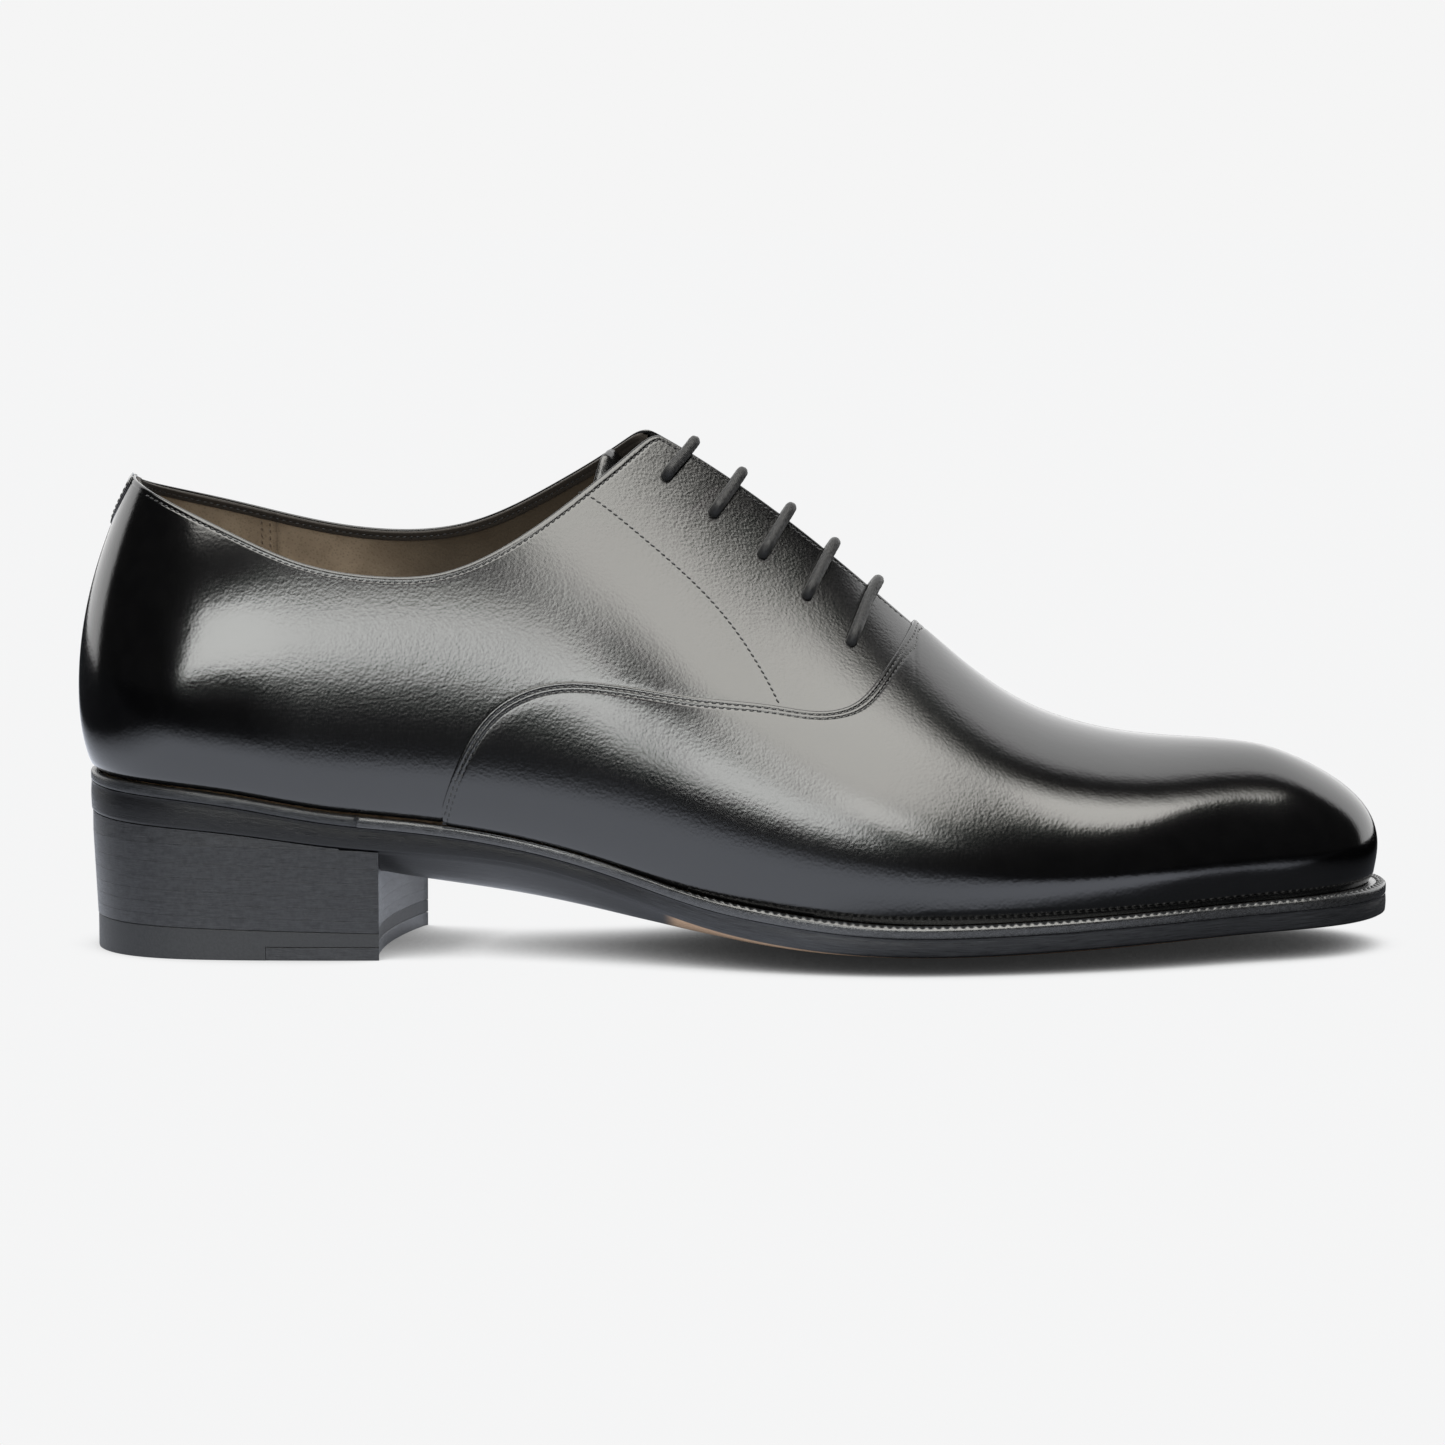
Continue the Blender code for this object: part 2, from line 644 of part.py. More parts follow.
def build_facings():
    def stay_low(lap):
        row_drop = np.interp(x_of(lap), [x for x, _ in EYELETS], [eyelet_drop(i) for i in range(5)])
        low = ridge_arc(lap) - row_drop - 5.5
        return max(low, edge_arc(lap, float(VAMP_EDGE(x_of(lap)))) + 2.4)

    stay_laps = side_laps(-14.0, 32.0)
    for side, laps in (("lateral", stay_laps), ("medial", other_side(stay_laps))):
        shell("facing_stay_" + side, stiffener(), laps, stay_low, lambda lap: top_arc(lap) - 0.9, even(3),
              lambda lap, arc: quarter_depth(lap, arc) - 1.25,
              lambda lap, arc: quarter_depth(lap, arc) - 1.5)
        holes = [cylinder(HOLE_RADIUS, -1.4, 2.0, 10, eyelet_matrix(side, row)) for row in range(5)]
        cut("quarter_" + side, cutter("punch_" + side, joined(holes)))
        bores = [cylinder(BARREL_RADIUS + 0.25, -4.0, 0.5, 10, eyelet_matrix(side, row)) for row in range(5)]
        tool = cutter("eyelet_bores_" + side, joined(bores))
        cut("facing_stay_" + side, tool)
        cut("quarter_lining_" + side, tool)
        for row in range(5):
            build_eyelet(side, row)


def build_eyelet(side, row):
    """A blind eyelet: a short barrel with a flange on the inside of the lining."""
    section = ((BORE_RADIUS, -1.25), (BARREL_RADIUS, -1.25), (BARREL_RADIUS, -3.05),
               (FLANGE_RADIUS, -3.05), (FLANGE_RADIUS, -3.3), (BORE_RADIUS, -3.3))
    sides = 8
    built = bmesh.new()
    rings = []
    for i in range(sides):
        turn = 2.0 * math.pi * i / sides
        rings.append([built.verts.new((r * math.cos(turn), r * math.sin(turn), z)) for r, z in section])
    for i in range(sides):
        for k in range(len(section)):
            a, b = rings[i], rings[(i + 1) % sides]
            n = (k + 1) % len(section)
            built.faces.new((a[k], b[k], b[n], a[n]))
    bmesh.ops.transform(built, matrix=eyelet_matrix(side, row), verts=built.verts)
    add_object("blind_eyelet_%s_%d" % (side, row + 1), built, brass())


def bar(row, start):
    """The lace over the facings, from a point inside one hole to a point inside the other."""
    x, _ = EYELETS[row]
    drop = eyelet_drop(row)
    end = "medial" if start == "lateral" else "lateral"
    half = ((0.0, RUN_DEPTH + 1.0), (0.0, -1.2), (0.008, 0.4), (0.06, 1.4), (0.2, BAR_LIFT + 0.05), (0.45, BAR_LIFT + 0.1),
            (0.75, BAR_LIFT + 0.1))

    def place(side, share, lift):
        lead = BAR_LEAD * share
        return on_side(side, x + lead, drop * (1.0 - share), lift)

    over = on_side(start, x + BAR_LEAD, 0.0, BAR_LIFT + 0.1)
    return [place(start, *step) for step in half] + [over] + [place(end, *step) for step in reversed(half)]


def run(side, first, last, bulge):
    """The hidden stretch of lace from one eyelet to another, passing beside any between."""
    points = []
    (x0, _), (x1, _) = EYELETS[first], EYELETS[last]
    for share, depth in ((0.06, RUN_DEPTH), (0.28, RUN_DEPTH - 0.1), (0.5, RUN_DEPTH - 0.1),
                         (0.72, RUN_DEPTH - 0.1), (0.94, RUN_DEPTH)):
        drop = eyelet_drop(first) + (eyelet_drop(last) - eyelet_drop(first)) * share
        swing = bulge * math.sin(math.pi * share)
        points.append(on_side(side, x0 + (x1 - x0) * share, drop + swing, depth))
    return points


def smooth_route(points, spacing):
    """Points read at even spacing from a smooth curve through the route's own points."""
    points = np.array(points, float)
    steps = np.concatenate([[0.0], np.cumsum(np.linalg.norm(np.diff(points, axis=0), axis=1))])
    route = Curve(np.column_stack([steps, points]).tolist())
    fine = route(np.linspace(0.0, steps[-1], 2000))
    along = np.concatenate([[0.0], np.cumsum(np.linalg.norm(np.diff(fine, axis=0), axis=1))])
    count = max(int(round(along[-1] / spacing)), 2)
    at = np.linspace(0.0, along[-1], count + 1)
    return np.column_stack([np.interp(at, along, fine[:, i]) for i in range(3)])


def cord(name, points, radius, paint):
    curve = bpy.data.curves.new(name, "CURVE")
    curve.dimensions = "3D"
    curve.bevel_depth = radius * MM
    curve.bevel_resolution = 2
    curve.use_fill_caps = True
    spline = curve.splines.new("POLY")
    spline.points.add(len(points) - 1)
    for point, place in zip(spline.points, points):
        point.co = (*(MM * np.asarray(place)), 1.0)
    curve.materials.append(paint)
    made = bpy.data.objects.new(name, curve)
    bpy.context.scene.collection.objects.link(made)
    return made


def lace_end(side, row):
    """The last stretch inside the shoe, up to the end that hangs free."""
    x, _ = EYELETS[row]
    drop = eyelet_drop(row)
    return [on_side(side, x - back, drop + down, RUN_DEPTH) for back, down in ((0.3, 0.6), (1.0, 2.4), (2.0, 4.6))]


def lace_route():
    """Straight bar lacing: five bars outside, four runs inside, both ends inside at the top."""
    return (lace_end("medial", 1)[::-1] + bar(1, "medial") + run("lateral", 1, 3, -4.0) + bar(3, "lateral")
            + run("medial", 3, 4, 0.0) + bar(4, "medial") + run("lateral", 4, 2, 2.8) + bar(2, "lateral")
            + run("medial", 2, 0, -3.8) + bar(0, "medial") + lace_end("lateral", 0))


# ---- tongue ----
TONGUE_HINGE_X, TONGUE_END = 36.0, -27.0
# Against x: the half width of the tongue along its own surface.
TONGUE_HALF_WIDTH = Curve([(-40.0, 16.0), (-30.0, 20.0), (-15.0, 24.0), (0.0, 25.0), (18.0, 21.0), (36.0, 12.0)])
TONGUE_DEPTH, TONGUE_LEATHER, TONGUE_LINING = -6.95, 1.6, 1.2
TONGUE_ROUND, TONGUE_ROUND_WIDTH = 1.8, 9.0
TONGUE_RISE, TONGUE_SLANT = 3.0, 0.3


def tongue_point(x, across, depth):
    """A point of the tongue, which follows the facings from inside and is rounded along its middle."""
    spread = abs(across)
    lap = lap_at(x - TONGUE_SLANT * spread * smooth((TONGUE_HINGE_X - x) / 40.0))
    depth -= TONGUE_ROUND * (1.0 - smooth(spread / TONGUE_ROUND_WIDTH))
    depth += TONGUE_RISE * smooth((-17.0 - x) / 9.0) * (1.0 - smooth((spread - 6.0) / 10.0))
    sides = [lap, LAP - lap] if across == 0.0 else [lap] if across < 0.0 else [LAP - lap]
    found = []
    for lap in sides:
        middle = clear_end(lap, ridge_arc(lap) - CORNER, level(depth), 0.0)
        found.append(off(lap, middle - spread, depth))
    point = np.mean(found, axis=0)
    if across == 0.0:
        point[1] = SPINE_Y
    return point


def tongue_layer(name, paint, x_from, x_to, trim, top, bottom):
    columns, rows = 12, (-1.0, -0.8, -0.55, -0.3, -0.12, 0.0, 0.12, 0.3, 0.55, 0.8, 1.0)
    grids = [], []
    for i in range(columns + 1):
        x = x_from + (x_to - x_from) * i / columns
        width = trim * float(TONGUE_HALF_WIDTH(x)) * (1.0 - 0.2 * smooth((i - columns + 3.0) / 3.0))
        for grid, depth in zip(grids, (top, bottom)):
            grid.append([tongue_point(x, row * width, depth) for row in rows])
    hinge = tongue_point(TONGUE_HINGE_X, 0.0, TONGUE_DEPTH - 0.5 * TONGUE_LEATHER)
    return add_object(name, double_grid(*grids), paint, location=hinge)


def build_tongue():
    lining_top = TONGUE_DEPTH - TONGUE_LEATHER - 2.0 * GAP
    tongue_layer("tongue", black_leather(), TONGUE_HINGE_X, TONGUE_END, 1.0,
                 TONGUE_DEPTH, TONGUE_DEPTH - TONGUE_LEATHER)
    tongue_layer("tongue_lining", lining_leather(), TONGUE_HINGE_X - 1.0, TONGUE_END + 0.8, 0.96,
                 lining_top, lining_top - TONGUE_LINING)


# ---- bottom: welt, rand, insole, cork, shank and outsole ----
WELT, WELT_INSET = 2.5, 2.5
INSOLE, INSOLE_MARGIN, INSOLE_LIP = 3.0, 3.8, 1.2
OUTSOLE_CENTRE = 5.0
# Against x: heights of the outsole's underside and of the insole's top, on the centre line.
SOLE_CENTRE = Curve([
    (-123.0, 29.8), (-112.0, 27.8), (-100.0, 24.2), (-88.0, 19.8), (-70.0, 16.0), (-47.0, 12.4), (-28.0, 8.6),
    (-14.0, 5.6), (0.0, 3.1), (15.0, 1.2), (30.0, 0.25), (45.0, 0.0), (60.0, 0.15), (80.0, 0.9), (100.0, 2.4),
    (121.0, 4.6),
])
INSOLE_CENTRE = Curve([
    (-123.0, 40.0), (-100.0, 35.6), (-75.0, 31.6), (-50.0, 27.6), (-28.0, 22.2), (-8.0, 16.6), (12.0, 12.9),
    (34.0, 11.2), (56.0, 11.0), (78.0, 11.6), (100.0, 12.7), (121.0, 14.0),
])
RAND_FRONT = -86.0


def plan(lap, r, z):
    x, dx, dy = spine_at(lap)
    return np.array([x + r * dx, SPINE_Y + r * dy, z])


def dish(lap, r, rim, centre, rim_height, power):
    x, _, _ = spine_at(lap)
    low = float(centre(x))
    return low + (rim_height - low) * (min(r / rim, 1.0) ** power)


def sole_power(lap):
    """The underside is rounder across the waist than under the forepart."""
    x, _, _ = spine_at(lap)
    return 2.2 + 0.6 * smooth((x + 110.0) / 30.0) * smooth((0.0 - x) / 30.0)


def welt_top(lap):
    return float(STATION(lap)[5]) - GAP


def underside(lap, r):
    edge = float(STATION(lap)[0])
    return dish(lap, r, edge, SOLE_CENTRE, float(STATION(lap)[6]), sole_power(lap))


def outsole_top(lap, r):
    edge = float(STATION(lap)[0])
    x, _, _ = spine_at(lap)
    centre = float(SOLE_CENTRE(x)) + OUTSOLE_CENTRE
    return centre + (welt_top(lap) - WELT - GAP - centre) * min(r / edge, 1.0) ** 2.6


def insole_top(lap, r):
    row = STATION(lap)
    return dish(lap, r, float(row[1]) - INSOLE_MARGIN, INSOLE_CENTRE, float(row[5]) + INSOLE_LIP, 2.4)


def plate(name, paint, laps, rim, shares_in, top, bottom, ring=True):
    """A plate that reaches from a rim to the spine, between two surfaces."""
    upper, lower = [], []
    for lap in laps:
        radii = [rim(lap) * share for share in shares_in]
        upper.append([plan(lap, r, top(lap, r)) for r in radii])
        lower.append([plan(lap, r, bottom(lap, r)) for r in radii])
    return add_object(name, double_grid(upper, lower, [True] * len(laps), ring=ring), paint)


def loft(sections, ring=False):
    """A closed solid through closed cross sections, with caps unless it is a ring."""
    built = bmesh.new()
    rows = [[built.verts.new(point) for point in section] for section in sections]
    count = len(rows)
    for i in range(count if ring else count - 1):
        a, b = rows[i], rows[(i + 1) % count]
        for k in range(len(a)):
            n = (k + 1) % len(a)
            built.faces.new((a[k], b[k], b[n], a[n]))
    if not ring:
        built.faces.new(rows[0])
        built.faces.new(rows[-1][::-1])
    return built


def strip(name, paint, laps):
    """A strip of welt or rand, its outer edge slightly rounded."""
    sections = []
    for lap in laps:
        row = STATION(lap)
        outer, inner, top = float(row[0]), float(row[1]) - WELT_INSET, welt_top(lap)
        shape = ((inner, top), (outer - 0.5, top), (outer, top - 0.6), (outer, top - WELT + 0.3),
                 (outer - 0.3, top - WELT), (inner, top - WELT))
        sections.append([plan(lap, r, z) for r, z in shape])
    return add_object(name, loft(sections), paint)


def build_bottom():
    side = stations((RAND_FRONT + 0.4, 9), (-20.0, 6), (34.0, 7), (91.0, 0))
    strip("welt", edge_leather(), round_the_toe(side))
    back = [0.0, 7.0, 14.0, 21.0, 28.0, 35.0, 42.0] + stations((-119.0, 4), (RAND_FRONT, 0))
    strip("heel_rand", edge_leather(), [-lap for lap in reversed(back[1:])] + back)

    around = whole_lap(60)
    plate("outsole", edge_leather(), around, lambda lap: float(STATION(lap)[0]),
          [1.0, 0.85, 0.6, 0.3, 0.0], outsole_top, underside)
    plate("insole", bare_leather(), around, lambda lap: float(STATION(lap)[1]) - INSOLE_MARGIN,
          [1.0, 0.75, 0.4, 0.0], insole_top, lambda lap, r: insole_top(lap, r) - INSOLE)
    plate("cork_filler", cork(), around, lambda lap: float(STATION(lap)[1]) - INSOLE_MARGIN - 0.4,
          [1.0, 0.75, 0.4, 0.0], lambda lap, r: insole_top(lap, r) - INSOLE - GAP,
          lambda lap, r: outsole_top(lap, r) + 2.0 * GAP)
    build_shank()
    sock = [6.0, 14.0, 22.0, 30.0, 38.0] + stations((-121.0, 7), (-58.0, 0))
    plate("heel_sock", lining_leather(), [-lap for lap in reversed(sock)] + [0.0] + sock,
          lambda lap: float(STATION(lap)[1]) - INSOLE_MARGIN - 2.4, [1.0, 0.85, 0.6, 0.3, 0.0],
          lambda lap, r: insole_top(lap, r) + GAP + 0.9, lambda lap, r: insole_top(lap, r) + GAP, ring=False)


SHANK_WIDTH, SHANK_THICKNESS, SHANK_BACK, SHANK_FRONT = 13.0, 1.2, -96.0, -14.0


def shank_sections(margin):
    """The spring steel strip; with a margin it is the groove that holds it, open below."""
    sections = []
    for i in range(10):
        x = SHANK_BACK - margin + (SHANK_FRONT - SHANK_BACK + 2.0 * margin) * i / 9
        low = float(SOLE_CENTRE(x)) + OUTSOLE_CENTRE + 1.1
        half = 0.5 * SHANK_WIDTH * (0.7 + 0.3 * math.sin(math.pi * i / 9)) + margin
        top = low + SHANK_THICKNESS + margin
        floor = low - (8.0 if margin else 0.0)
        sections.append([(x, SPINE_Y - half, floor), (x, SPINE_Y + half, floor),
                         (x, SPINE_Y + half, top), (x, SPINE_Y - half, top)])
    return sections


def build_shank():
    add_object("shank", loft(shank_sections(0.0)), steel())
    cut("cork_filler", cutter("shank_groove", loft(shank_sections(0.35))))


# ---- heel: wedge, six lifts, top piece of leather and rubber, nails ----
BREAST_LATERAL, BREAST_MEDIAL, BREAST_HOLLOW = -81.0, -72.8, 3.0
HEEL_TAPER = 1.4
WEDGE_FRONT = -97.0
# Heights of the heel's joints at the back seam and at the breast.
STACK_BACK, STACK_BREAST = 27.3, 25.4
TOP_PIECE_BACK, TOP_PIECE_BREAST = 8.0, 6.3
LIFT_SHARES = (0.0, 0.22, 0.40, 0.56, 0.71, 0.86, 1.0)
RUBBER_FRONT, LEATHER_QUARTER = -107.0, 3.1
NAIL_RADIUS, NAIL_HOLE, NAIL_TOP = 0.8, 1.15, 10.6
NAILS = ((-138.0, 4.0), (-124.0, -14.0), (-124.0, 22.0), (-96.0, -14.0), (-94.0, 24.0))


def joint_height(share, x):
    """A joint of the stack: a plane that slopes from the back to the breast."""
    back = STACK_BACK + (TOP_PIECE_BACK - STACK_BACK) * share
    breast = STACK_BREAST + (TOP_PIECE_BREAST - STACK_BREAST) * share
    return back + (breast - back) * (x - (-149.0)) / 68.0


def breast_x(across):
    """The breast: hollow, and further forward on the medial side; across runs from 0 to 1."""
    return (BREAST_LATERAL + (BREAST_MEDIAL - BREAST_LATERAL) * across
            - 4.0 * BREAST_HOLLOW * across * (1.0 - across))


def heel_outline(inset, front=None):
    """The heel's plan as (x, y) points: round the back, then along the breast."""
    lateral_end, medial_end = (front, front) if front else (BREAST_LATERAL, BREAST_MEDIAL)
    laps = ([LAP - lap for lap in np.linspace(lap_at(medial_end), 8.0, 10)] + [0.0]
            + list(np.linspace(8.0, lap_at(lateral_end), 10)))
    points = [tuple(plan(lap, float(STATION(lap)[0]) - 0.4 - inset, 0.0)[:2]) for lap in laps]
    (x0, y0), (x1, y1) = points[-1], points[0]
    if front is None:
        for i in range(1, 8):
            share = i / 8.0
            points.append((breast_x(share), y0 + (y1 - y0) * share))
    return points


def prism(outline_low, outline_high, low, high):
    """A solid between two outlines with the same number of points, at heights given by x."""
    return loft([[(x, y, low(x)) for x, y in outline_low], [(x, y, high(x)) for x, y in outline_high]])


def taper_at(height):
    return HEEL_TAPER * (1.0 - height / STACK_BACK)


def build_heel():
    clearance = cutter("sole_clearance", sole_clearance())
    wedge = prism(heel_outline(0.0, WEDGE_FRONT), heel_outline(0.0, WEDGE_FRONT),
                  lambda x: joint_height(0.0, x), lambda x: 44.0)
    add_object("heel_wedge", wedge, stack_leather())
    cut("heel_wedge", clearance)
    for i, (above, below) in enumerate(zip(LIFT_SHARES, LIFT_SHARES[1:])):
        top, bottom = joint_height(above, -149.0), joint_height(below, -149.0)
        lift = prism(heel_outline(taper_at(bottom)), heel_outline(taper_at(top)),
                     lambda x: joint_height(below, x), lambda x: joint_height(above, x) - GAP)
        add_object("heel_lift_%d" % (i + 1), lift, stack_leather())
        if i < 4:
            cut("heel_lift_%d" % (i + 1), clearance)
    build_top_piece()


def sole_clearance():
    """The space of the outsole above the stack, with a gap left round it."""
    laps = [LAP - lap for lap in reversed([0.0, 12.0, 24.0, 36.0] + stations((-121.0, 7), (-55.0, 0)))][:-1]
    laps += [0.0, 12.0, 24.0, 36.0] + stations((-121.0, 7), (-55.0, 0))
    lower, upper = [], []
    for lap in laps:
        edge = float(STATION(lap)[0])
        radii = [edge * share for share in (1.1, 1.0, 0.85, 0.65, 0.35, 0.0)]
        lower.append([plan(lap, r, underside(lap, r) - 1.5 * GAP) for r in radii])
        upper.append([plan(lap, r, 60.0) for r in radii])
    return double_grid(upper, lower, [True] * len(laps))


def build_top_piece():
    """The rubber reaches right round the back; in front a leather quarter lies under it."""
    def ceiling(x):
        return joint_height(1.0, x) - GAP

    outline = heel_outline(taper_at(3.0))
    add_object("top_piece_rubber", prism(outline, outline, lambda x: 0.0, ceiling), rubber())
    add_object("top_piece_leather", prism(outline, outline, lambda x: 0.0, lambda x: LEATHER_QUARTER),
               stack_leather())
    behind = box(-170.0, RUBBER_FRONT, -60.0, 60.0, -5.0, 20.0)
    cut("top_piece_leather", cutter("rear_half", behind))
    ahead = box(RUBBER_FRONT - GAP, -40.0, -60.0, 60.0, -5.0, LEATHER_QUARTER + GAP)
    cut("top_piece_rubber", cutter("leather_quarter_space", ahead))
    holes = [cylinder(NAIL_HOLE, -2.0, NAIL_TOP + 0.6, 8, Matrix.Translation((x, y, 0.0))) for x, y in NAILS]
    tool = cutter("nail_holes", joined(holes))
    for target in ("top_piece_rubber", "top_piece_leather", "heel_lift_6", "heel_lift_5"):
        cut(target, tool)
    for i, (x, y) in enumerate(NAILS):
        nail = cylinder(NAIL_RADIUS, 0.2, NAIL_TOP, 8, Matrix.Identity(4))
        made = add_object("heel_nail_%d" % (i + 1), nail, brass())
        made.location = (x * MM, y * MM, 0.0)


def box(x0, x1, y0, y1, z0, z1):
    built = bmesh.new()
    bmesh.ops.create_cube(built, size=1.0)
    for vertex in built.verts:
        share = vertex.co + Vector((0.5, 0.5, 0.5))
        vertex.co = (x0 + (x1 - x0) * share.x, y0 + (y1 - y0) * share.y, z0 + (z1 - z0) * share.z)
    return built


# ---- the lace's ends, tucked into the shoe ----
def on_lining(side, x, height, clear):
    """A point inside the shoe, at a distance from the lining's inner face."""
    lap = lap_at(x)
    lap = lap if side == "lateral" else LAP - lap
    arc = arc_of_height(lap, height)
    return off(lap, arc, lining_depth(lap, arc) - LINING - clear)


def on_insole(x, across):
    """A point on the foot bed that a lace lies on; across is millimetres from the spine."""
    lap = lap_at(x) if across <= 0.0 else LAP - lap_at(x)
    lift = LACE_RADIUS + GAP + (2.0 * GAP + 0.9) * smooth((-50.0 - x) / 6.0) + 1.4 * smooth((-80.0 - x) / 12.0)
    return plan(lap, abs(across), insole_top(lap, abs(across)) + lift)


TAIL_CLEAR = LACE_RADIUS + 1.1
TAIL_START = {"lateral": 0, "medial": 1}


def tail_route(side):
    """From under the top eyelets, round the tongue's edge, down the lining and along the foot bed."""
    way = -1.0 if side == "lateral" else 1.0
    row = TAIL_START[side]
    x, _ = EYELETS[row]
    drop = eyelet_drop(row)
    points = [on_side(side, x - 2.15, drop + 4.9, RUN_DEPTH), on_side(side, x - 4.0, drop + 9.0, RUN_DEPTH + 0.3),
              on_side(side, x - 7.0, drop + 14.5, RUN_DEPTH + 0.6)]
    points += [on_lining(side, x - 12.0, 80.0, TAIL_CLEAR),
               on_lining(side, x - 19.0, 66.0, TAIL_CLEAR), on_lining(side, x - 26.0, 50.0, TAIL_CLEAR),
               on_lining(side, x - 33.0, 39.5, TAIL_CLEAR + 0.6)]
    first = way * 17.0
    points += [on_insole(x - 41.0, first), on_insole(x - 52.0, way * 12.5), on_insole(x - 66.0, way * 11.0),
               on_insole(x - 80.0, way * 12.5), on_insole(x - 91.0, way * 15.5)]
    return points


AGLET_LENGTH, AGLET_RADIUS = 18.0, 1.45


def build_lace():
    cord("lace", lace_route(), LACE_RADIUS, waxed_cord())
    for side in ("lateral", "medial"):
        route = smooth_route(tail_route(side), 2.8 * 2.0 * LACE_RADIUS)
        cord("lace_tail_" + side, route, LACE_RADIUS, waxed_cord())
        heading = Vector(route[-1] - route[-2]).normalized()
        turn = heading.to_track_quat("Z", "Y").to_matrix().to_4x4()
        start = Vector(route[-1]) + heading * GAP
        aglet = cylinder(AGLET_RADIUS, 0.0, AGLET_LENGTH, 10, Matrix.Translation(start) @ turn)
        add_object("aglet_" + side, aglet, black_steel())


def main():
    build_uppers()
    build_linings()
    build_facings()
    build_tongue()
    build_bottom()
    build_heel()
    build_lace()


main()
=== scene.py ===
"""A man's black right oxford shoe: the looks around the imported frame.

Lengths in this file are millimetres until a mesh or curve is made, and the frame is metres.
The uppers, linings and bottom come from the same family of half profiles as the solids, so a
place on them is "lap", the distance round the last from the back seam, and "arc", the length
up the profile from the feather line.
"""

import math

import bmesh
import bpy
import numpy as np
from mathutils import Matrix, Vector


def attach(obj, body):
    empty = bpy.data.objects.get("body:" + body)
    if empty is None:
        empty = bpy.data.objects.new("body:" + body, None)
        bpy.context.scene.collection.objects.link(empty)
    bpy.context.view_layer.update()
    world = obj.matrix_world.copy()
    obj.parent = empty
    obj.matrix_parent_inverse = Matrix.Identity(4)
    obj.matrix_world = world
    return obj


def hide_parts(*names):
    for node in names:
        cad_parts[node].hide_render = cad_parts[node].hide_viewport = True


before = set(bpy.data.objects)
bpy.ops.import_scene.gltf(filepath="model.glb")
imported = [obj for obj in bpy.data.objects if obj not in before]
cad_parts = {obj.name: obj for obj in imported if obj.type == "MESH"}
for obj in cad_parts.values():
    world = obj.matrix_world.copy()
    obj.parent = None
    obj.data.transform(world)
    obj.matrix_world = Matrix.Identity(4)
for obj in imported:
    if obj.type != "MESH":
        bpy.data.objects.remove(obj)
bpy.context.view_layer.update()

MM = 0.001
GAP = 0.3

# ---- the last: one closed family of half profiles that fan round a straight spine ----
SPINE_Y = 4.0
HEEL_CENTRE_X = -123.0
TOE_CENTRE_X = 121.0
FAN_RADIUS = 28.0
FAN_BLEND = 30.0
QUARTER_TURN = 0.5 * math.pi * FAN_RADIUS
# Where the laps counted from the back seam give way to steps along the side.
BACK_FAN_X = -121.0
HALF_LAP = TOE_CENTRE_X - HEEL_CENTRE_X + 2.0 * QUARTER_TURN


def lap_at(x):
    """Distance round the last, from the back seam, of the side station at x."""
    return x - HEEL_CENTRE_X + QUARTER_TURN


# The columns of a station, after its distance, that the bottom is built from.
EDGE, FEATHER, FEATHER_HEIGHT, SOLE_LOW = 0, 1, 5, 6
# Each station: distance round the last, then the half breadths of the sole edge, the feather
# and the fullest line, the height of the fullest line, how hollow the flank is above it,
# the height of the feather and of the lower edge of the outsole.
BACK = (0.0, 26.8, 26.2, 29.4, 60.0, 0.50, 41.8, 32.2)
TOE = (HALF_LAP, 32.2, 28.0, 29.2, 23.5, 0.10, 15.2, 8.0)
LATERAL = (
    (22.0, 28.3, 27.6, 31.0, 59.0, 0.50, 41.0, 31.4),
    (lap_at(-115.0), 31.0, 30.2, 34.2, 56.0, 0.50, 38.2, 29.3),
    (lap_at(-95.0), 31.8, 31.0, 35.5, 53.0, 0.49, 34.8, 26.8),
    (lap_at(-75.0), 31.6, 30.8, 36.0, 51.0, 0.47, 32.6, 25.0),
    (lap_at(-50.0), 32.2, 31.4, 37.0, 48.0, 0.42, 28.8, 22.6),
    (lap_at(-28.0), 36.5, 35.0, 40.0, 43.0, 0.38, 23.2, 17.0),
    (lap_at(-8.0), 44.5, 41.5, 45.5, 36.0, 0.34, 17.2, 10.4),
    (lap_at(12.0), 52.0, 47.6, 50.0, 29.0, 0.30, 13.7, 6.4),
    (lap_at(34.0), 56.0, 51.4, 53.0, 24.0, 0.27, 11.6, 4.7),
    (lap_at(56.0), 55.0, 50.6, 51.8, 21.5, 0.24, 11.5, 4.6),
    (lap_at(78.0), 50.6, 46.2, 47.2, 21.0, 0.20, 12.2, 5.4),
    (lap_at(101.0), 42.8, 38.6, 39.5, 22.0, 0.16, 13.2, 6.4),
    (lap_at(121.0), 33.8, 29.6, 30.4, 22.8, 0.15, 13.9, 7.0),
    (HALF_LAP - 22.0, 31.6, 27.3, 28.2, 23.3, 0.15, 14.7, 7.6),
)
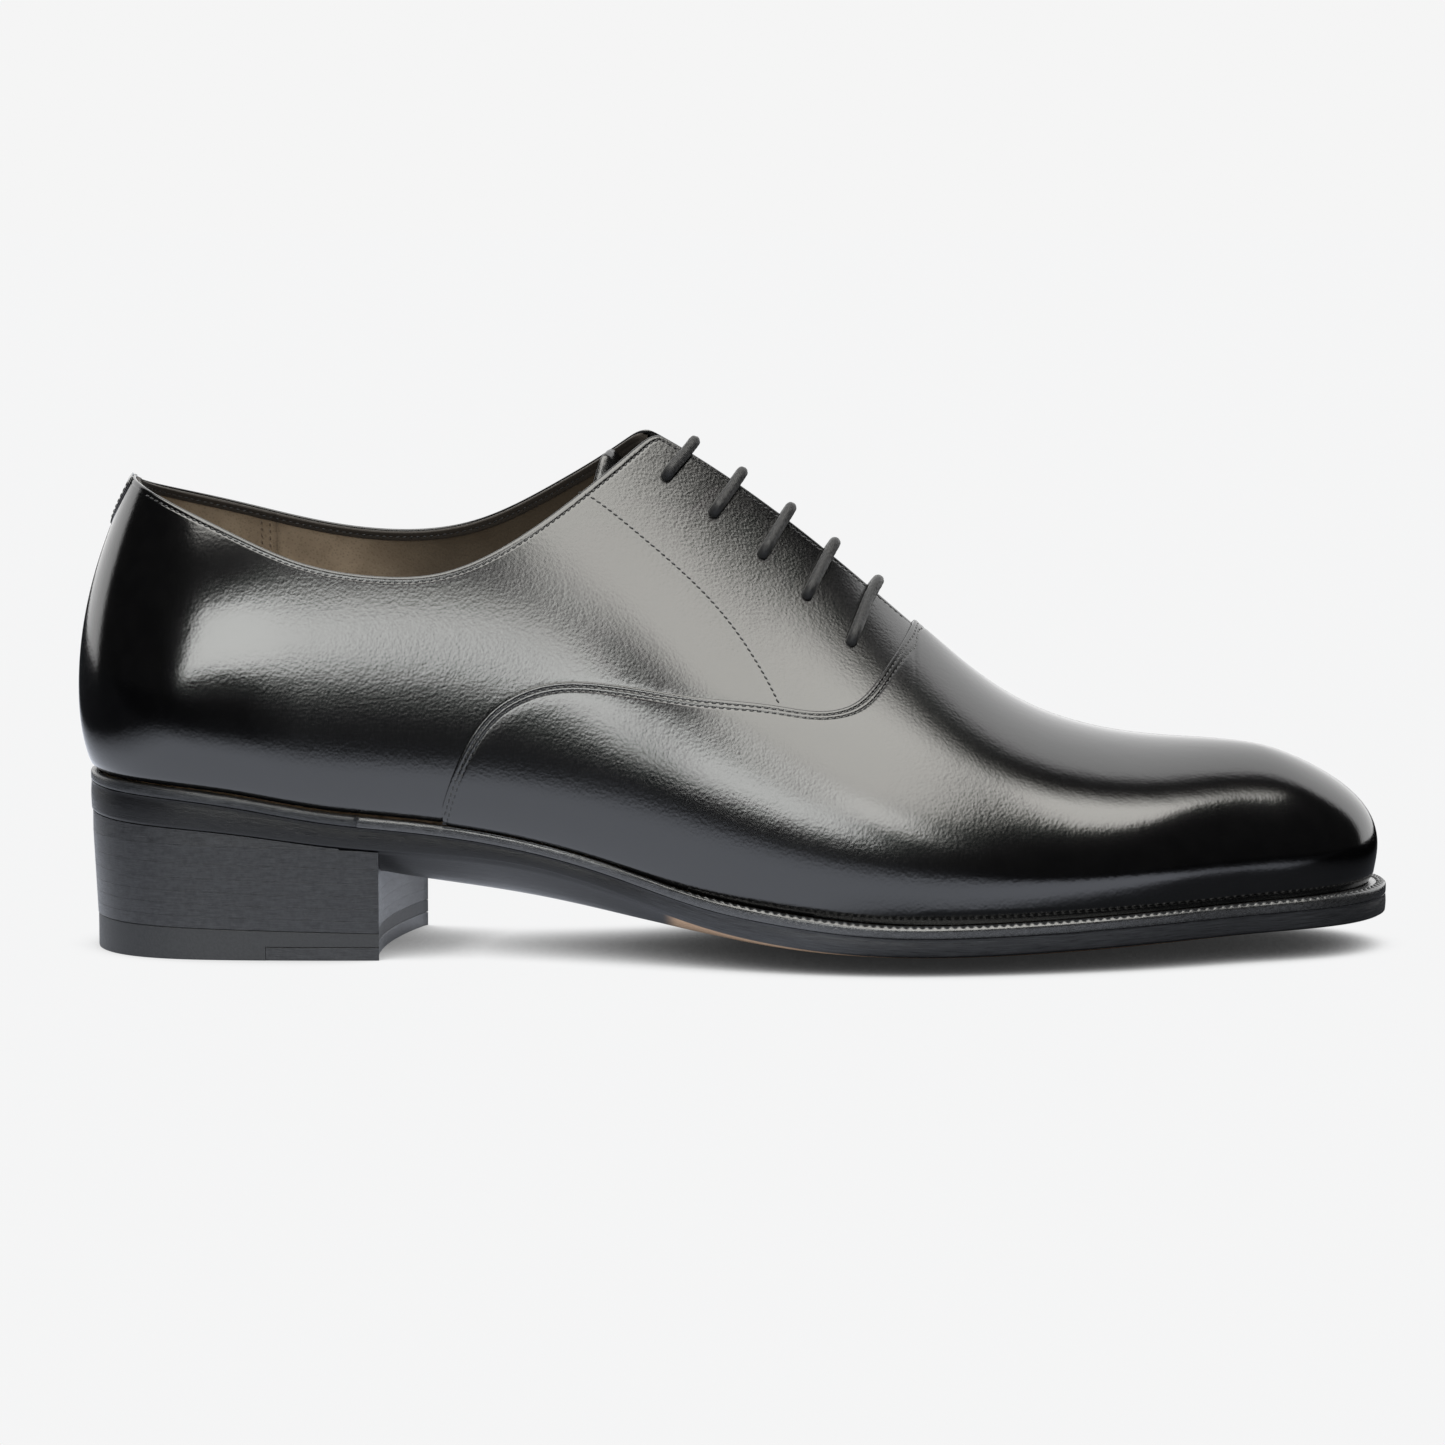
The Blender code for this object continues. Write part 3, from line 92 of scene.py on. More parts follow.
MEDIAL = (
    (22.0, 28.5, 27.8, 31.0, 59.0, 0.50, 41.0, 31.4),
    (lap_at(-115.0), 32.0, 31.2, 34.6, 57.0, 0.50, 38.4, 29.3),
    (lap_at(-95.0), 32.6, 31.6, 34.5, 56.0, 0.50, 35.2, 26.8),
    (lap_at(-75.0), 30.5, 29.4, 33.0, 57.0, 0.50, 33.2, 25.2),
    (lap_at(-50.0), 25.5, 24.4, 31.5, 58.0, 0.48, 30.6, 23.6),
    (lap_at(-28.0), 24.0, 22.8, 31.5, 55.0, 0.45, 26.6, 19.0),
    (lap_at(-8.0), 28.5, 26.6, 34.5, 47.0, 0.42, 20.4, 12.4),
    (lap_at(12.0), 36.0, 33.0, 38.5, 37.0, 0.38, 15.2, 7.4),
    (lap_at(34.0), 43.5, 39.8, 43.0, 28.0, 0.33, 12.2, 5.0),
    (lap_at(56.0), 47.0, 43.0, 44.8, 23.5, 0.27, 11.6, 4.6),
    (lap_at(78.0), 45.5, 41.6, 42.8, 22.0, 0.21, 12.2, 5.4),
    (lap_at(101.0), 40.2, 36.2, 37.1, 22.5, 0.16, 13.2, 6.4),
    (lap_at(121.0), 33.4, 29.3, 30.1, 22.9, 0.15, 13.9, 7.0),
    (HALF_LAP - 22.0, 31.6, 27.3, 28.2, 23.3, 0.15, 14.7, 7.6),
)
RIDGE = (
    (-150.0, 132.0), (-110.0, 132.0), (-70.0, 132.0), (-40.0, 129.5), (-17.0, 120.2),
    (6.5, 105.2), (25.0, 90.7), (44.0, 73.8), (62.5, 59.0), (81.0, 51.0), (100.0, 47.9), (121.0, 46.2),
)
TOE_SLOPE = -0.16
# How sharply the flanks meet at the ridge: 0.5 is round, 1 is a peaked roof.
PEAK = (
    (-150.0, 0.5), (-75.0, 0.5), (-45.0, 0.65), (-17.0, 0.95), (25.0, 1.0), (44.0, 0.72), (62.0, 0.54),
    (82.0, 0.5), (121.0, 0.5),
)


class Curve:
    """A smooth curve through points, natural at its ends or, with a period, closed."""

    def __init__(self, points, period=None, end_slope=None):
        points = np.array(sorted(points), float)
        x, y = points[:, 0], points[:, 1:]
        if period:
            x = np.concatenate([x - period, x, x + period])
            y = np.concatenate([y, y, y])
        n = len(x)
        h = np.diff(x)
        system = np.zeros((n, n))
        right = np.zeros_like(y)
        system[0, 0] = system[-1, -1] = 1.0
        for i in range(1, n - 1):
            system[i, i - 1 : i + 2] = h[i - 1], 2.0 * (h[i - 1] + h[i]), h[i]
            right[i] = 6.0 * ((y[i + 1] - y[i]) / h[i] - (y[i] - y[i - 1]) / h[i - 1])
        if end_slope is not None:
            system[-1, -2:] = h[-1], 2.0 * h[-1]
            right[-1] = 6.0 * (end_slope - (y[-1] - y[-2]) / h[-1])
        self.x, self.y, self.bend = x, y, np.linalg.solve(system, right)
        self.period = period

    def __call__(self, at):
        at = np.asarray(at, float)
        if self.period:
            at = np.mod(at, self.period)
        else:
            at = np.clip(at, self.x[0], self.x[-1])
        i = np.clip(np.searchsorted(self.x, at) - 1, 0, len(self.x) - 2)
        h = self.x[i + 1] - self.x[i]
        a = ((self.x[i + 1] - at) / h)[..., None]
        b = 1.0 - a
        h = h[..., None]
        bend = ((a**3 - a) * self.bend[i] + (b**3 - b) * self.bend[i + 1]) * h * h / 6.0
        value = a * self.y[i] + b * self.y[i + 1] + bend
        return value[..., 0] if value.shape[-1] == 1 else value


LAP = 2.0 * HALF_LAP
STATION = Curve([BACK, TOE, *LATERAL, *((LAP - row[0], *row[1:]) for row in MEDIAL)], period=LAP)
RIDGE_HEIGHT = Curve(RIDGE, end_slope=TOE_SLOPE)
RIDGE_PEAK = Curve(PEAK)


def measure(lap, column):
    return float(STATION(lap)[column])


def ramp(u):
    """A smooth ramp: 0 well before u = 0, and u well after it."""
    v = np.clip((u + FAN_BLEND) / (2.0 * FAN_BLEND), 0.0, 1.0)
    inside = 2.0 * FAN_BLEND * (v**6 - 3.0 * v**5 + 2.5 * v**4)
    return np.where(u > FAN_BLEND, u, inside)


def spine_at(lap):
    """Where the half plane at this distance round the last starts, and which way it points."""
    side = np.where(np.mod(lap, LAP) <= HALF_LAP, -1.0, 1.0)
    half = np.mod(lap, LAP)
    half = np.where(half <= HALF_LAP, half, LAP - half)
    run = ramp(half - QUARTER_TURN) - ramp(half - (HALF_LAP - QUARTER_TURN))
    turn = (half - run) / FAN_RADIUS
    return HEEL_CENTRE_X + run, -np.cos(turn), side * np.sin(turn)


LOW = np.linspace(0.0, 1.0, 60, endpoint=False)
HIGH = np.linspace(0.0, 0.5 * math.pi, 240)


def profile(lap):
    """One half profile: breadths and heights from the feather up to the ridge, and arc lengths."""
    _, feather, full, full_height, hollow, feather_height, _ = STATION(lap)
    x, forward, _ = spine_at(lap)
    rise = RIDGE_HEIGHT(x) - full_height
    peak = RIDGE_PEAK(x)
    drop = full_height - feather_height
    bend = 2.0 * (peak + hollow) * full / rise**2
    cubic = (full - feather - 0.5 * bend * drop**2) / drop**3
    y = drop * (1.0 - LOW)
    w = np.sin(HIGH)
    breadth = np.concatenate([
        full - 0.5 * bend * y**2 - cubic * y**3,
        full * np.cos(HIGH) ** (2.0 * peak) * (1.0 - hollow * w**2),
    ])
    tilt = TOE_SLOPE * max(float(forward), 0.0) * breadth[len(LOW):] * w**2
    height = np.concatenate([full_height - y, full_height + rise * w + tilt])
    arc = np.concatenate([[0.0], np.cumsum(np.hypot(np.diff(breadth), np.diff(height)))])
    return breadth, height, arc


PROFILES = {}


def profile_of(lap):
    key = round(float(lap) % LAP, 6)
    if key not in PROFILES:
        PROFILES[key] = profile(key)
    return PROFILES[key]


def distances(points):
    """How far along a line of points each one lies."""
    return np.concatenate([[0.0], np.cumsum(np.linalg.norm(np.diff(points, axis=0), axis=1))])


def read_at(at, steps, values):
    """Rows of values read between the given steps."""
    return np.column_stack([np.interp(at, steps, column) for column in np.asarray(values).T])


def ridge_arc(lap):
    return float(profile_of(lap)[2][-1])


def skin(lap, arc):
    """The point of the reference surface at a distance round the last and an arc above the feather."""
    breadth, height, arcs = profile_of(lap)
    x, dx, dy = spine_at(lap)
    r = np.interp(arc, arcs, breadth)
    return np.array([x + r * dx, SPINE_Y + r * dy, np.interp(arc, arcs, height)])


def skin_normal(lap, arc):
    step = 0.25
    top = ridge_arc(lap)
    if arc > top - 2.0 * step:
        x, _, _ = spine_at(lap)
        slope = (RIDGE_HEIGHT(x + step) - RIDGE_HEIGHT(x - step)) / (2.0 * step)
        normal = np.array([-slope, 0.0, 1.0])
    else:
        # neighbouring profiles are compared at the same share of their length
        share = arc / top
        around = (skin(lap + step, share * ridge_arc(lap + step))
                  - skin(lap - step, share * ridge_arc(lap - step)))
        up = skin(lap, arc + step) - skin(lap, max(arc - step, 0.0))
        normal = np.cross(around, up)
    return normal / np.linalg.norm(normal)


def off(lap, arc, distance):
    return skin(lap, arc) + distance * skin_normal(lap, arc)


def arc_of_height(lap, height):
    """The arc at a height, running on past the ridge so that edges can cross it smoothly."""
    _, heights, arc = profile_of(lap)
    beyond = max(height - heights[-1], 0.0)
    return float(np.interp(height, heights, arc)) + 2.0 * beyond


# ---- edges of the leathers ----
FACING_GAP = 0.9
CORNER = 1.8
LATERAL_TOPLINE = Curve([
    (0.0, 110.2), (22.0, 108.0), (lap_at(-118.0), 99.6), (lap_at(-100.0), 92.0), (lap_at(-82.0), 88.6),
    (lap_at(-66.0), 89.4), (lap_at(-48.0), 97.6), (lap_at(-32.0), 109.0), (lap_at(-20.0), 118.6),
    (lap_at(-8.0), 129.0),
])
MEDIAL_TOPLINE = Curve([
    (0.0, 110.2), (22.0, 107.4), (lap_at(-117.0), 102.3), (lap_at(-98.0), 97.8), (lap_at(-79.0), 95.6),
    (lap_at(-60.0), 98.2), (lap_at(-41.0), 107.6), (lap_at(-22.0), 120.4), (lap_at(-10.0), 131.0),
])
# Heights of the vamp's upper edge, and of the joint between the quarter linings and the vamp
# lining, both against x.
VAMP_START, VAMP_THROAT = -66.0, 43.0
VAMP_EDGE = Curve([
    (-66.0, 36.5), (-64.2, 42.0), (-61.5, 48.5), (-57.0, 55.8), (-50.0, 61.6), (-43.0, 64.2), (-30.0, 64.6),
    (-7.0, 61.4), (10.0, 59.4), (24.0, 58.3), (30.0, 61.0), (35.0, 66.4), (39.0, 71.4), (43.0, 76.6),
])
LINING_JOINT = ((14.0, 0.0), (17.0, 28.0), (22.0, 42.0), (30.0, 57.0), (38.0, 70.0), (44.0, 77.0))
LINING_BACK = -108.0


def on_its_side(side, lap):
    """A lateral lap, or its mirror on the medial side."""
    return lap if side == "lateral" else LAP - lap


def outward(lap):
    """The sign of y on this side of the shoe."""
    return -1.0 if lap % LAP < HALF_LAP else 1.0


def x_of(lap):
    half = lap % LAP
    half = half if half <= HALF_LAP else LAP - half
    return half - QUARTER_TURN + HEEL_CENTRE_X


def edge_arc(lap, height):
    """Where an edge given by a height crosses this profile, at most its ridge."""
    return min(arc_of_height(lap, height), ridge_arc(lap))


def top_arc(lap):
    """The topline, which turns a rounded corner into the facing edge."""
    half = lap % LAP
    line = LATERAL_TOPLINE(half) if half <= HALF_LAP else MEDIAL_TOPLINE(LAP - half)
    a = arc_of_height(lap, float(line))
    b = ridge_arc(lap) - FACING_GAP
    if x_of(lap) > -8.0:
        return b
    return min(a, b) - CORNER * math.log(1.0 + math.exp(-abs(a - b) / CORNER))


def smooth(value):
    value = min(max(value, 0.0), 1.0)
    return value * value * (3.0 - 2.0 * value)


# ---- depths, outwards from the reference surface ----
VAMP_OUT = 0.95
LEATHER = 1.0
TUCK = 0.65
LINING_TOP, LINING_MAIN, LINING_HEEL = -1.3, -2.05, -3.0
LINING = 0.7
# The dark strip along the lining's top, a distance well below it, and the x from which the vamp
# lining closes over the ridge.
LINING_STRIP, BELOW_STRIP, LINING_CLOSED_X = 2.3, 30.0, 46.9


def quarter_depth(lap, arc):
    """The quarter's face, which dips where it passes under the vamp."""
    x = x_of(lap)
    if x < VAMP_START - 2.0:
        return 0.0
    edge = edge_arc(lap, float(VAMP_EDGE(max(x, VAMP_START))))
    across = (edge - arc) / 1.5 + 1.0
    along = (x - VAMP_START + 1.5) / 1.5
    return -TUCK * smooth(across) * smooth(along)


def lining_depth(lap, arc):
    """The lining meets the leather at the topline and passes behind the heel counter."""
    x = x_of(lap)
    behind = smooth((-48.0 - x) / 14.0)
    low = LINING_MAIN + (LINING_HEEL - LINING_MAIN) * behind
    drop = top_arc(lap) - arc if x < VAMP_THROAT else 99.0
    low += (LINING_TOP - low) * (1.0 - smooth((drop - 3.0) / 16.0)) * smooth((-14.0 - x) / 10.0)
    return low + quarter_depth(lap, arc)



# ---- places shared with the solids ----
def joint_arc(lap, shift):
    x = x_of(lap)
    heights = np.array(LINING_JOINT)
    return max(edge_arc(lap, float(np.interp(x, heights[:, 0], heights[:, 1]))) + shift, 0.0)


# The eyelet holes: x, and height on the lateral side. The medial ones lie as far from the ridge.
EYELETS = ((-15.2, 110.0), (-4.2, 101.6), (7.1, 92.2), (17.3, 82.9), (27.4, 72.6))
LACE_RADIUS = 1.4
RUN_DEPTH = -5.1
BAR_LIFT = LACE_RADIUS + GAP
BAR_LEAD = 5.5


def eyelet_drop(row):
    x, height = EYELETS[row]
    lap = lap_at(x)
    return ridge_arc(lap) - arc_of_height(lap, height)


def on_side(side, x, drop, depth):
    """A point by x, by arc length down from the ridge, and by depth, on either side."""
    lap = on_its_side(side, lap_at(x))
    return off(lap, ridge_arc(lap) - drop, depth)


def eyelet_matrix(side, row):
    x, _ = EYELETS[row]
    centre = on_side(side, x, eyelet_drop(row), 0.0)
    normal = centre - on_side(side, x, eyelet_drop(row), -1.0)
    turn = Vector(normal).to_track_quat("Z", "Y").to_matrix().to_4x4()
    return Matrix.Translation(Vector(centre)) @ turn


def bar(row, start):
    """The lace over the facings, from a point inside one hole to a point inside the other."""
    x, _ = EYELETS[row]
    drop = eyelet_drop(row)
    end = "medial" if start == "lateral" else "lateral"
    half = ((0.0, RUN_DEPTH + 1.0), (0.0, -1.2), (0.008, 0.4), (0.06, 1.4), (0.2, BAR_LIFT + 0.05),
            (0.45, BAR_LIFT + 0.1), (0.75, BAR_LIFT + 0.1))

    def place(side, share, lift):
        lead = BAR_LEAD * share
        return on_side(side, x + lead, drop * (1.0 - share), lift)

    over = on_side(start, x + BAR_LEAD, 0.0, BAR_LIFT + 0.1)
    return [place(start, *step) for step in half] + [over] + [place(end, *step) for step in reversed(half)]


def run(side, first, last, bulge):
    """The hidden stretch of lace from one eyelet to another, passing beside any between."""
    points = []
    (x0, _), (x1, _) = EYELETS[first], EYELETS[last]
    for share, depth in ((0.06, RUN_DEPTH), (0.28, RUN_DEPTH - 0.1), (0.5, RUN_DEPTH - 0.1),
                         (0.72, RUN_DEPTH - 0.1), (0.94, RUN_DEPTH)):
        drop = eyelet_drop(first) + (eyelet_drop(last) - eyelet_drop(first)) * share
        swing = bulge * math.sin(math.pi * share)
        points.append(on_side(side, x0 + (x1 - x0) * share, drop + swing, depth))
    return points


def smooth_route(points, spacing):
    """Points read at even spacing from a smooth curve through the route's own points."""
    points = np.array(points, float)
    steps = distances(points)
    route = Curve(np.column_stack([steps, points]).tolist())
    fine = route(np.linspace(0.0, steps[-1], 2000))
    along = distances(fine)
    count = max(int(round(along[-1] / spacing)), 2)
    at = np.linspace(0.0, along[-1], count + 1)
    return read_at(at, along, fine)


def lace_end(side, row):
    """The last stretch inside the shoe, up to the end that hangs free."""
    x, _ = EYELETS[row]
    drop = eyelet_drop(row)
    return [on_side(side, x - back, drop + down, RUN_DEPTH)
            for back, down in ((0.3, 0.6), (1.0, 2.4), (2.0, 4.6))]


def lace_route():
    """Straight bar lacing: five bars outside, four runs inside, both ends inside at the top."""
    return (lace_end("medial", 1)[::-1] + bar(1, "medial") + run("lateral", 1, 3, -4.0) + bar(3, "lateral")
            + run("medial", 3, 4, 0.0) + bar(4, "medial") + run("lateral", 4, 2, 2.8) + bar(2, "lateral")
            + run("medial", 2, 0, -3.8) + bar(0, "medial") + lace_end("lateral", 0))


TONGUE_HINGE_X, TONGUE_END = 36.0, -27.0
# Against x: the half width of the tongue along its own surface.
TONGUE_HALF_WIDTH = Curve([
    (-40.0, 16.0), (-30.0, 20.0), (-15.0, 24.0), (0.0, 25.0), (18.0, 21.0), (36.0, 12.0),
])
TONGUE_DEPTH, TONGUE_LEATHER, TONGUE_LINING = -6.95, 1.6, 1.2
TONGUE_ROUND, TONGUE_ROUND_WIDTH = 1.8, 9.0
TONGUE_RISE, TONGUE_SLANT = 3.0, 0.3
WELT, WELT_INSET = 2.5, 2.5
INSOLE, INSOLE_MARGIN, INSOLE_LIP, INSOLE_POWER = 3.0, 3.8, 1.2, 2.4
OUTSOLE_CENTRE = 5.0
# Against x: heights of the outsole's underside and of the insole's top, on the centre line.
SOLE_CENTRE = Curve([
    (-123.0, 29.8), (-112.0, 27.8), (-100.0, 24.2), (-88.0, 19.8), (-70.0, 16.0), (-47.0, 12.4), (-28.0, 8.6),
    (-14.0, 5.6), (0.0, 3.1), (15.0, 1.2), (30.0, 0.25), (45.0, 0.0), (60.0, 0.15), (80.0, 0.9), (100.0, 2.4),
    (121.0, 4.6),
])
INSOLE_CENTRE = Curve([
    (-123.0, 40.0), (-100.0, 35.6), (-75.0, 31.6), (-50.0, 27.6), (-28.0, 22.2), (-8.0, 16.6), (12.0, 12.9),
    (34.0, 11.2), (56.0, 11.0), (78.0, 11.6), (100.0, 12.7), (121.0, 14.0),
])
RAND_FRONT = -86.0


def plan(lap, r, z):
    x, dx, dy = spine_at(lap)
    return np.array([x + r * dx, SPINE_Y + r * dy, z])


def dish(lap, r, rim, centre, rim_height, power):
    x, _, _ = spine_at(lap)
    low = float(centre(x))
    return low + (rim_height - low) * (min(r / rim, 1.0) ** power)


def sole_power(lap):
    """The underside is rounder across the waist than under the forepart."""
    x, _, _ = spine_at(lap)
    return 2.2 + 0.6 * smooth((x + 110.0) / 30.0) * smooth((0.0 - x) / 30.0)


def welt_top(lap):
    return measure(lap, FEATHER_HEIGHT) - GAP


def underside(lap, r):
    return dish(lap, r, measure(lap, EDGE), SOLE_CENTRE, measure(lap, SOLE_LOW), sole_power(lap))


def outsole_top(lap, r):
    edge = measure(lap, EDGE)
    x, _, _ = spine_at(lap)
    centre = float(SOLE_CENTRE(x)) + OUTSOLE_CENTRE
    return centre + (welt_top(lap) - WELT - GAP - centre) * min(r / edge, 1.0) ** 2.6


def insole_top(lap, r):
    return dish(lap, r, measure(lap, FEATHER) - INSOLE_MARGIN, INSOLE_CENTRE,
                measure(lap, FEATHER_HEIGHT) + INSOLE_LIP, INSOLE_POWER)


BREAST_LATERAL, BREAST_MEDIAL, BREAST_HOLLOW = -81.0, -72.8, 3.0
HEEL_TAPER = 1.4
WEDGE_FRONT = -97.0
# Heights of the heel's joints at the back seam and at the breast.
STACK_BACK, STACK_BREAST = 27.3, 25.4
HEEL_BACK, HEEL_RUN = -149.0, 68.0
TOP_PIECE_BACK, TOP_PIECE_BREAST = 8.0, 6.3
LIFT_SHARES = (0.0, 0.22, 0.40, 0.56, 0.71, 0.86, 1.0)
RUBBER_FRONT, LEATHER_QUARTER = -107.0, 3.1
NAILS = ((-138.0, 4.0), (-124.0, -14.0), (-124.0, 22.0), (-96.0, -14.0), (-94.0, 24.0))


def joint_height(share, x):
    """A joint of the stack: a plane that slopes from the back to the breast."""
    back = STACK_BACK + (TOP_PIECE_BACK - STACK_BACK) * share
    breast = STACK_BREAST + (TOP_PIECE_BREAST - STACK_BREAST) * share
    return back + (breast - back) * (x - HEEL_BACK) / HEEL_RUN


def breast_x(across):
    """The breast: hollow, and further forward on the medial side; across runs from 0 to 1."""
    return (BREAST_LATERAL + (BREAST_MEDIAL - BREAST_LATERAL) * across
            - 4.0 * BREAST_HOLLOW * across * (1.0 - across))


def taper_at(height):
    return HEEL_TAPER * (1.0 - height / STACK_BACK)


def on_lining(side, x, height, clear):
    """A point inside the shoe, at a distance from the lining's inner face."""
    lap = on_its_side(side, lap_at(x))
    arc = arc_of_height(lap, height)
    return off(lap, arc, lining_depth(lap, arc) - LINING - clear)


def on_insole(x, across):
    """A point on the foot bed that a lace lies on; across is millimetres from the spine."""
    lap = lap_at(x) if across <= 0.0 else LAP - lap_at(x)
    over_sock = (2.0 * GAP + 0.9) * smooth((-50.0 - x) / 6.0)
    lift = LACE_RADIUS + GAP + over_sock + 1.4 * smooth((-80.0 - x) / 12.0)
    return plan(lap, abs(across), insole_top(lap, abs(across)) + lift)


TAIL_CLEAR = LACE_RADIUS + 1.1
TAIL_START = {"lateral": 0, "medial": 1}


def tail_route(side):
    """From under the top eyelets, round the tongue's edge, down the lining and along the foot bed."""
    way = -1.0 if side == "lateral" else 1.0
    row = TAIL_START[side]
    x, _ = EYELETS[row]
    drop = eyelet_drop(row)
    under_facing = ((2.15, 4.9, 0.0), (4.0, 9.0, 0.3), (7.0, 14.5, 0.6))
    down_lining = ((12.0, 80.0, 0.0), (19.0, 66.0, 0.0), (26.0, 50.0, 0.0), (33.0, 39.5, 0.6))
    along_bed = ((41.0, 17.0), (52.0, 12.5), (66.0, 11.0), (80.0, 12.5), (91.0, 15.5))
    return ([on_side(side, x - back, drop + down, RUN_DEPTH + lift) for back, down, lift in under_facing]
            + [on_lining(side, x - back, height, TAIL_CLEAR + more) for back, height, more in down_lining]
            + [on_insole(x - back, way * across) for back, across in along_bed])


# ---- rows of the surface at once ----
def skin_row(lap, arcs):
    return skin(lap, arcs).T


def normal_row(lap, arcs):
    step, top = 0.25, ridge_arc(lap)
    arcs = np.asarray(arcs, float)
    inside = np.minimum(arcs, top - 2.0 * step)
    share = inside / top
    around = (skin_row(lap + step, share * ridge_arc(lap + step))
              - skin_row(lap - step, share * ridge_arc(lap - step)))
    up = skin_row(lap, inside + step) - skin_row(lap, np.maximum(inside - step, 0.0))
    normal = np.cross(around, up)
    normal /= np.linalg.norm(normal, axis=1)[:, None]
    x, _, _ = spine_at(lap)
    slope = (RIDGE_HEIGHT(x + step) - RIDGE_HEIGHT(x - step)) / (2.0 * step)
    crest = np.array([-slope, 0.0, 1.0]) / math.hypot(slope, 1.0)
    near = np.clip((arcs - inside) / (2.0 * step), 0.0, 1.0)[:, None]
    normal = normal * (1.0 - near) + crest * near
    return normal / np.linalg.norm(normal, axis=1)[:, None]


def off_row(lap, arcs, depths):
    return skin_row(lap, arcs) + np.asarray(depths, float)[:, None] * normal_row(lap, arcs)


def smooth_array(value):
    value = np.clip(value, 0.0, 1.0)
    return value * value * (3.0 - 2.0 * value)


def stretch_of(edge, lap):
    """How much longer a step up the profile is than a step square to a sloping edge."""
    slope = (edge(lap + 0.5) - edge(lap - 0.5))
    return math.hypot(1.0, slope)


def vamp_edge(lap):
    """The vamp's upper edge as an arc, running on past the ridge at the throat."""
    x = x_of(lap)
    beyond = max(x - VAMP_THROAT, 0.0)
    return arc_of_height(lap, float(VAMP_EDGE(x)) + 1.28 * beyond + 0.25 * beyond**2)


def rounded(distance, radius):
    """How far a rounded edge falls below its face at a distance from the edge."""
    inside = np.clip(radius - np.asarray(distance, float), 0.0, radius)
    return radius - np.sqrt(radius * radius - inside * inside)


def groove(distance, at, depth, width):
    return depth * np.exp(-((np.asarray(distance, float) - at) / width) ** 2)


# ---- meshes ----
def grid_quads(columns, rows, ring=False):
    i = np.arange(columns if ring else columns - 1)[:, None]
    k = np.arange(rows - 1)[None, :]
    a = i * rows + k
    b = ((i + 1) % columns) * rows + k
    return np.stack([a, b, b + 1, a + 1], axis=-1).reshape(-1, 4)


def tube_faces(rings, sides, closed=False, inward=False, caps=True):
    """The faces of rings joined one after the other, with a flat cap at each end."""
    i = np.arange(rings if closed else rings - 1)[:, None]
    k = np.arange(sides)[None, :]
    j, n = (i + 1) % rings, (k + 1) % sides
    near, far = [i * sides + k, i * sides + n], [j * sides + n, j * sides + k]
    corners = near + far if inward else [near[0], far[1], far[0], near[1]]
    faces = np.stack(corners, axis=-1).reshape(-1, 4).tolist()
    if caps:
        ends = [list(range(sides)), [(rings - 1) * sides + k for k in reversed(range(sides))]]
        faces += [end[::-1] for end in ends] if inward else ends
    return faces


def add_mesh(name, points, faces, paint, body="shoe", replaces=(), sharp=None, weld=None, uv=None):
    """Makes an object from points in millimetres, and lets it ride on a body of the frame."""
    mesh = bpy.data.meshes.new(name)
    mesh.from_pydata((np.asarray(points, float) * MM).tolist(), [], [list(map(int, face)) for face in faces])
    if uv is not None:
        layer_uv = mesh.uv_layers.new(name="along")
        index = np.zeros(len(mesh.loops), np.int32)
        mesh.loops.foreach_get("vertex_index", index)
        layer_uv.data.foreach_set("uv", np.asarray(uv, float)[index].ravel())
    if weld is not None:
        built = bmesh.new()
        built.from_mesh(mesh)
        bmesh.ops.remove_doubles(built, verts=built.verts, dist=weld * MM)
        bmesh.ops.dissolve_degenerate(built, edges=built.edges, dist=1e-7)
        bmesh.ops.recalc_face_normals(built, faces=built.faces)
        built.to_mesh(mesh)
        built.free()
    mesh.shade_smooth()
    if sharp is not None:
        mesh.set_sharp_from_angle(angle=math.radians(sharp))
    mesh.materials.append(paint)
    made = bpy.data.objects.new(name, mesh)
    bpy.context.scene.collection.objects.link(made)
    if body:
        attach(made, body)
    if replaces:
        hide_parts(*replaces)
    return made


def closed_sheet(outer, inner, zipped=None, ring=False):
    """Points and faces of a solid between two grids (columns, rows, 3) of the same size."""
    columns, rows = outer.shape[:2]
    count = columns * rows
    quads = [grid_quads(columns, rows, ring), grid_quads(columns, rows, ring)[:, ::-1] + count]
    last = columns if ring else columns - 1
    i = np.arange(last)
    j = (i + 1) % columns
    quads.append(np.stack([j * rows, i * rows, i * rows + count, j * rows + count], axis=-1))
    zipped = np.zeros(columns, bool) if zipped is None else np.asarray(zipped, bool)
    open_top = ~(zipped[i] & zipped[j])
    top_i, top_j = i[open_top] * rows + rows - 1, j[open_top] * rows + rows - 1
    quads.append(np.stack([top_i, top_j, top_j + count, top_i + count], axis=-1))
    if not ring:
        k = np.arange(rows - 1)
        quads.append(np.stack([k, k + 1, k + 1 + count, k + count], axis=-1))
        far = (columns - 1) * rows + k
        quads.append(np.stack([far + 1, far, far + count, far + 1 + count], axis=-1))
    points = np.concatenate([outer.reshape(-1, 3), inner.reshape(-1, 3)])
    return points, np.concatenate(quads)


NEAR_EDGE = (0.0, 0.05, 0.12, 0.22, 0.36, 0.52, 0.68, 0.82, 0.94, 1.06, 1.2, 1.36, 1.52, 1.68, 1.82,
             1.94, 2.06, 2.2, 2.36, 2.56, 2.9, 3.4, 4.1, 5.0)


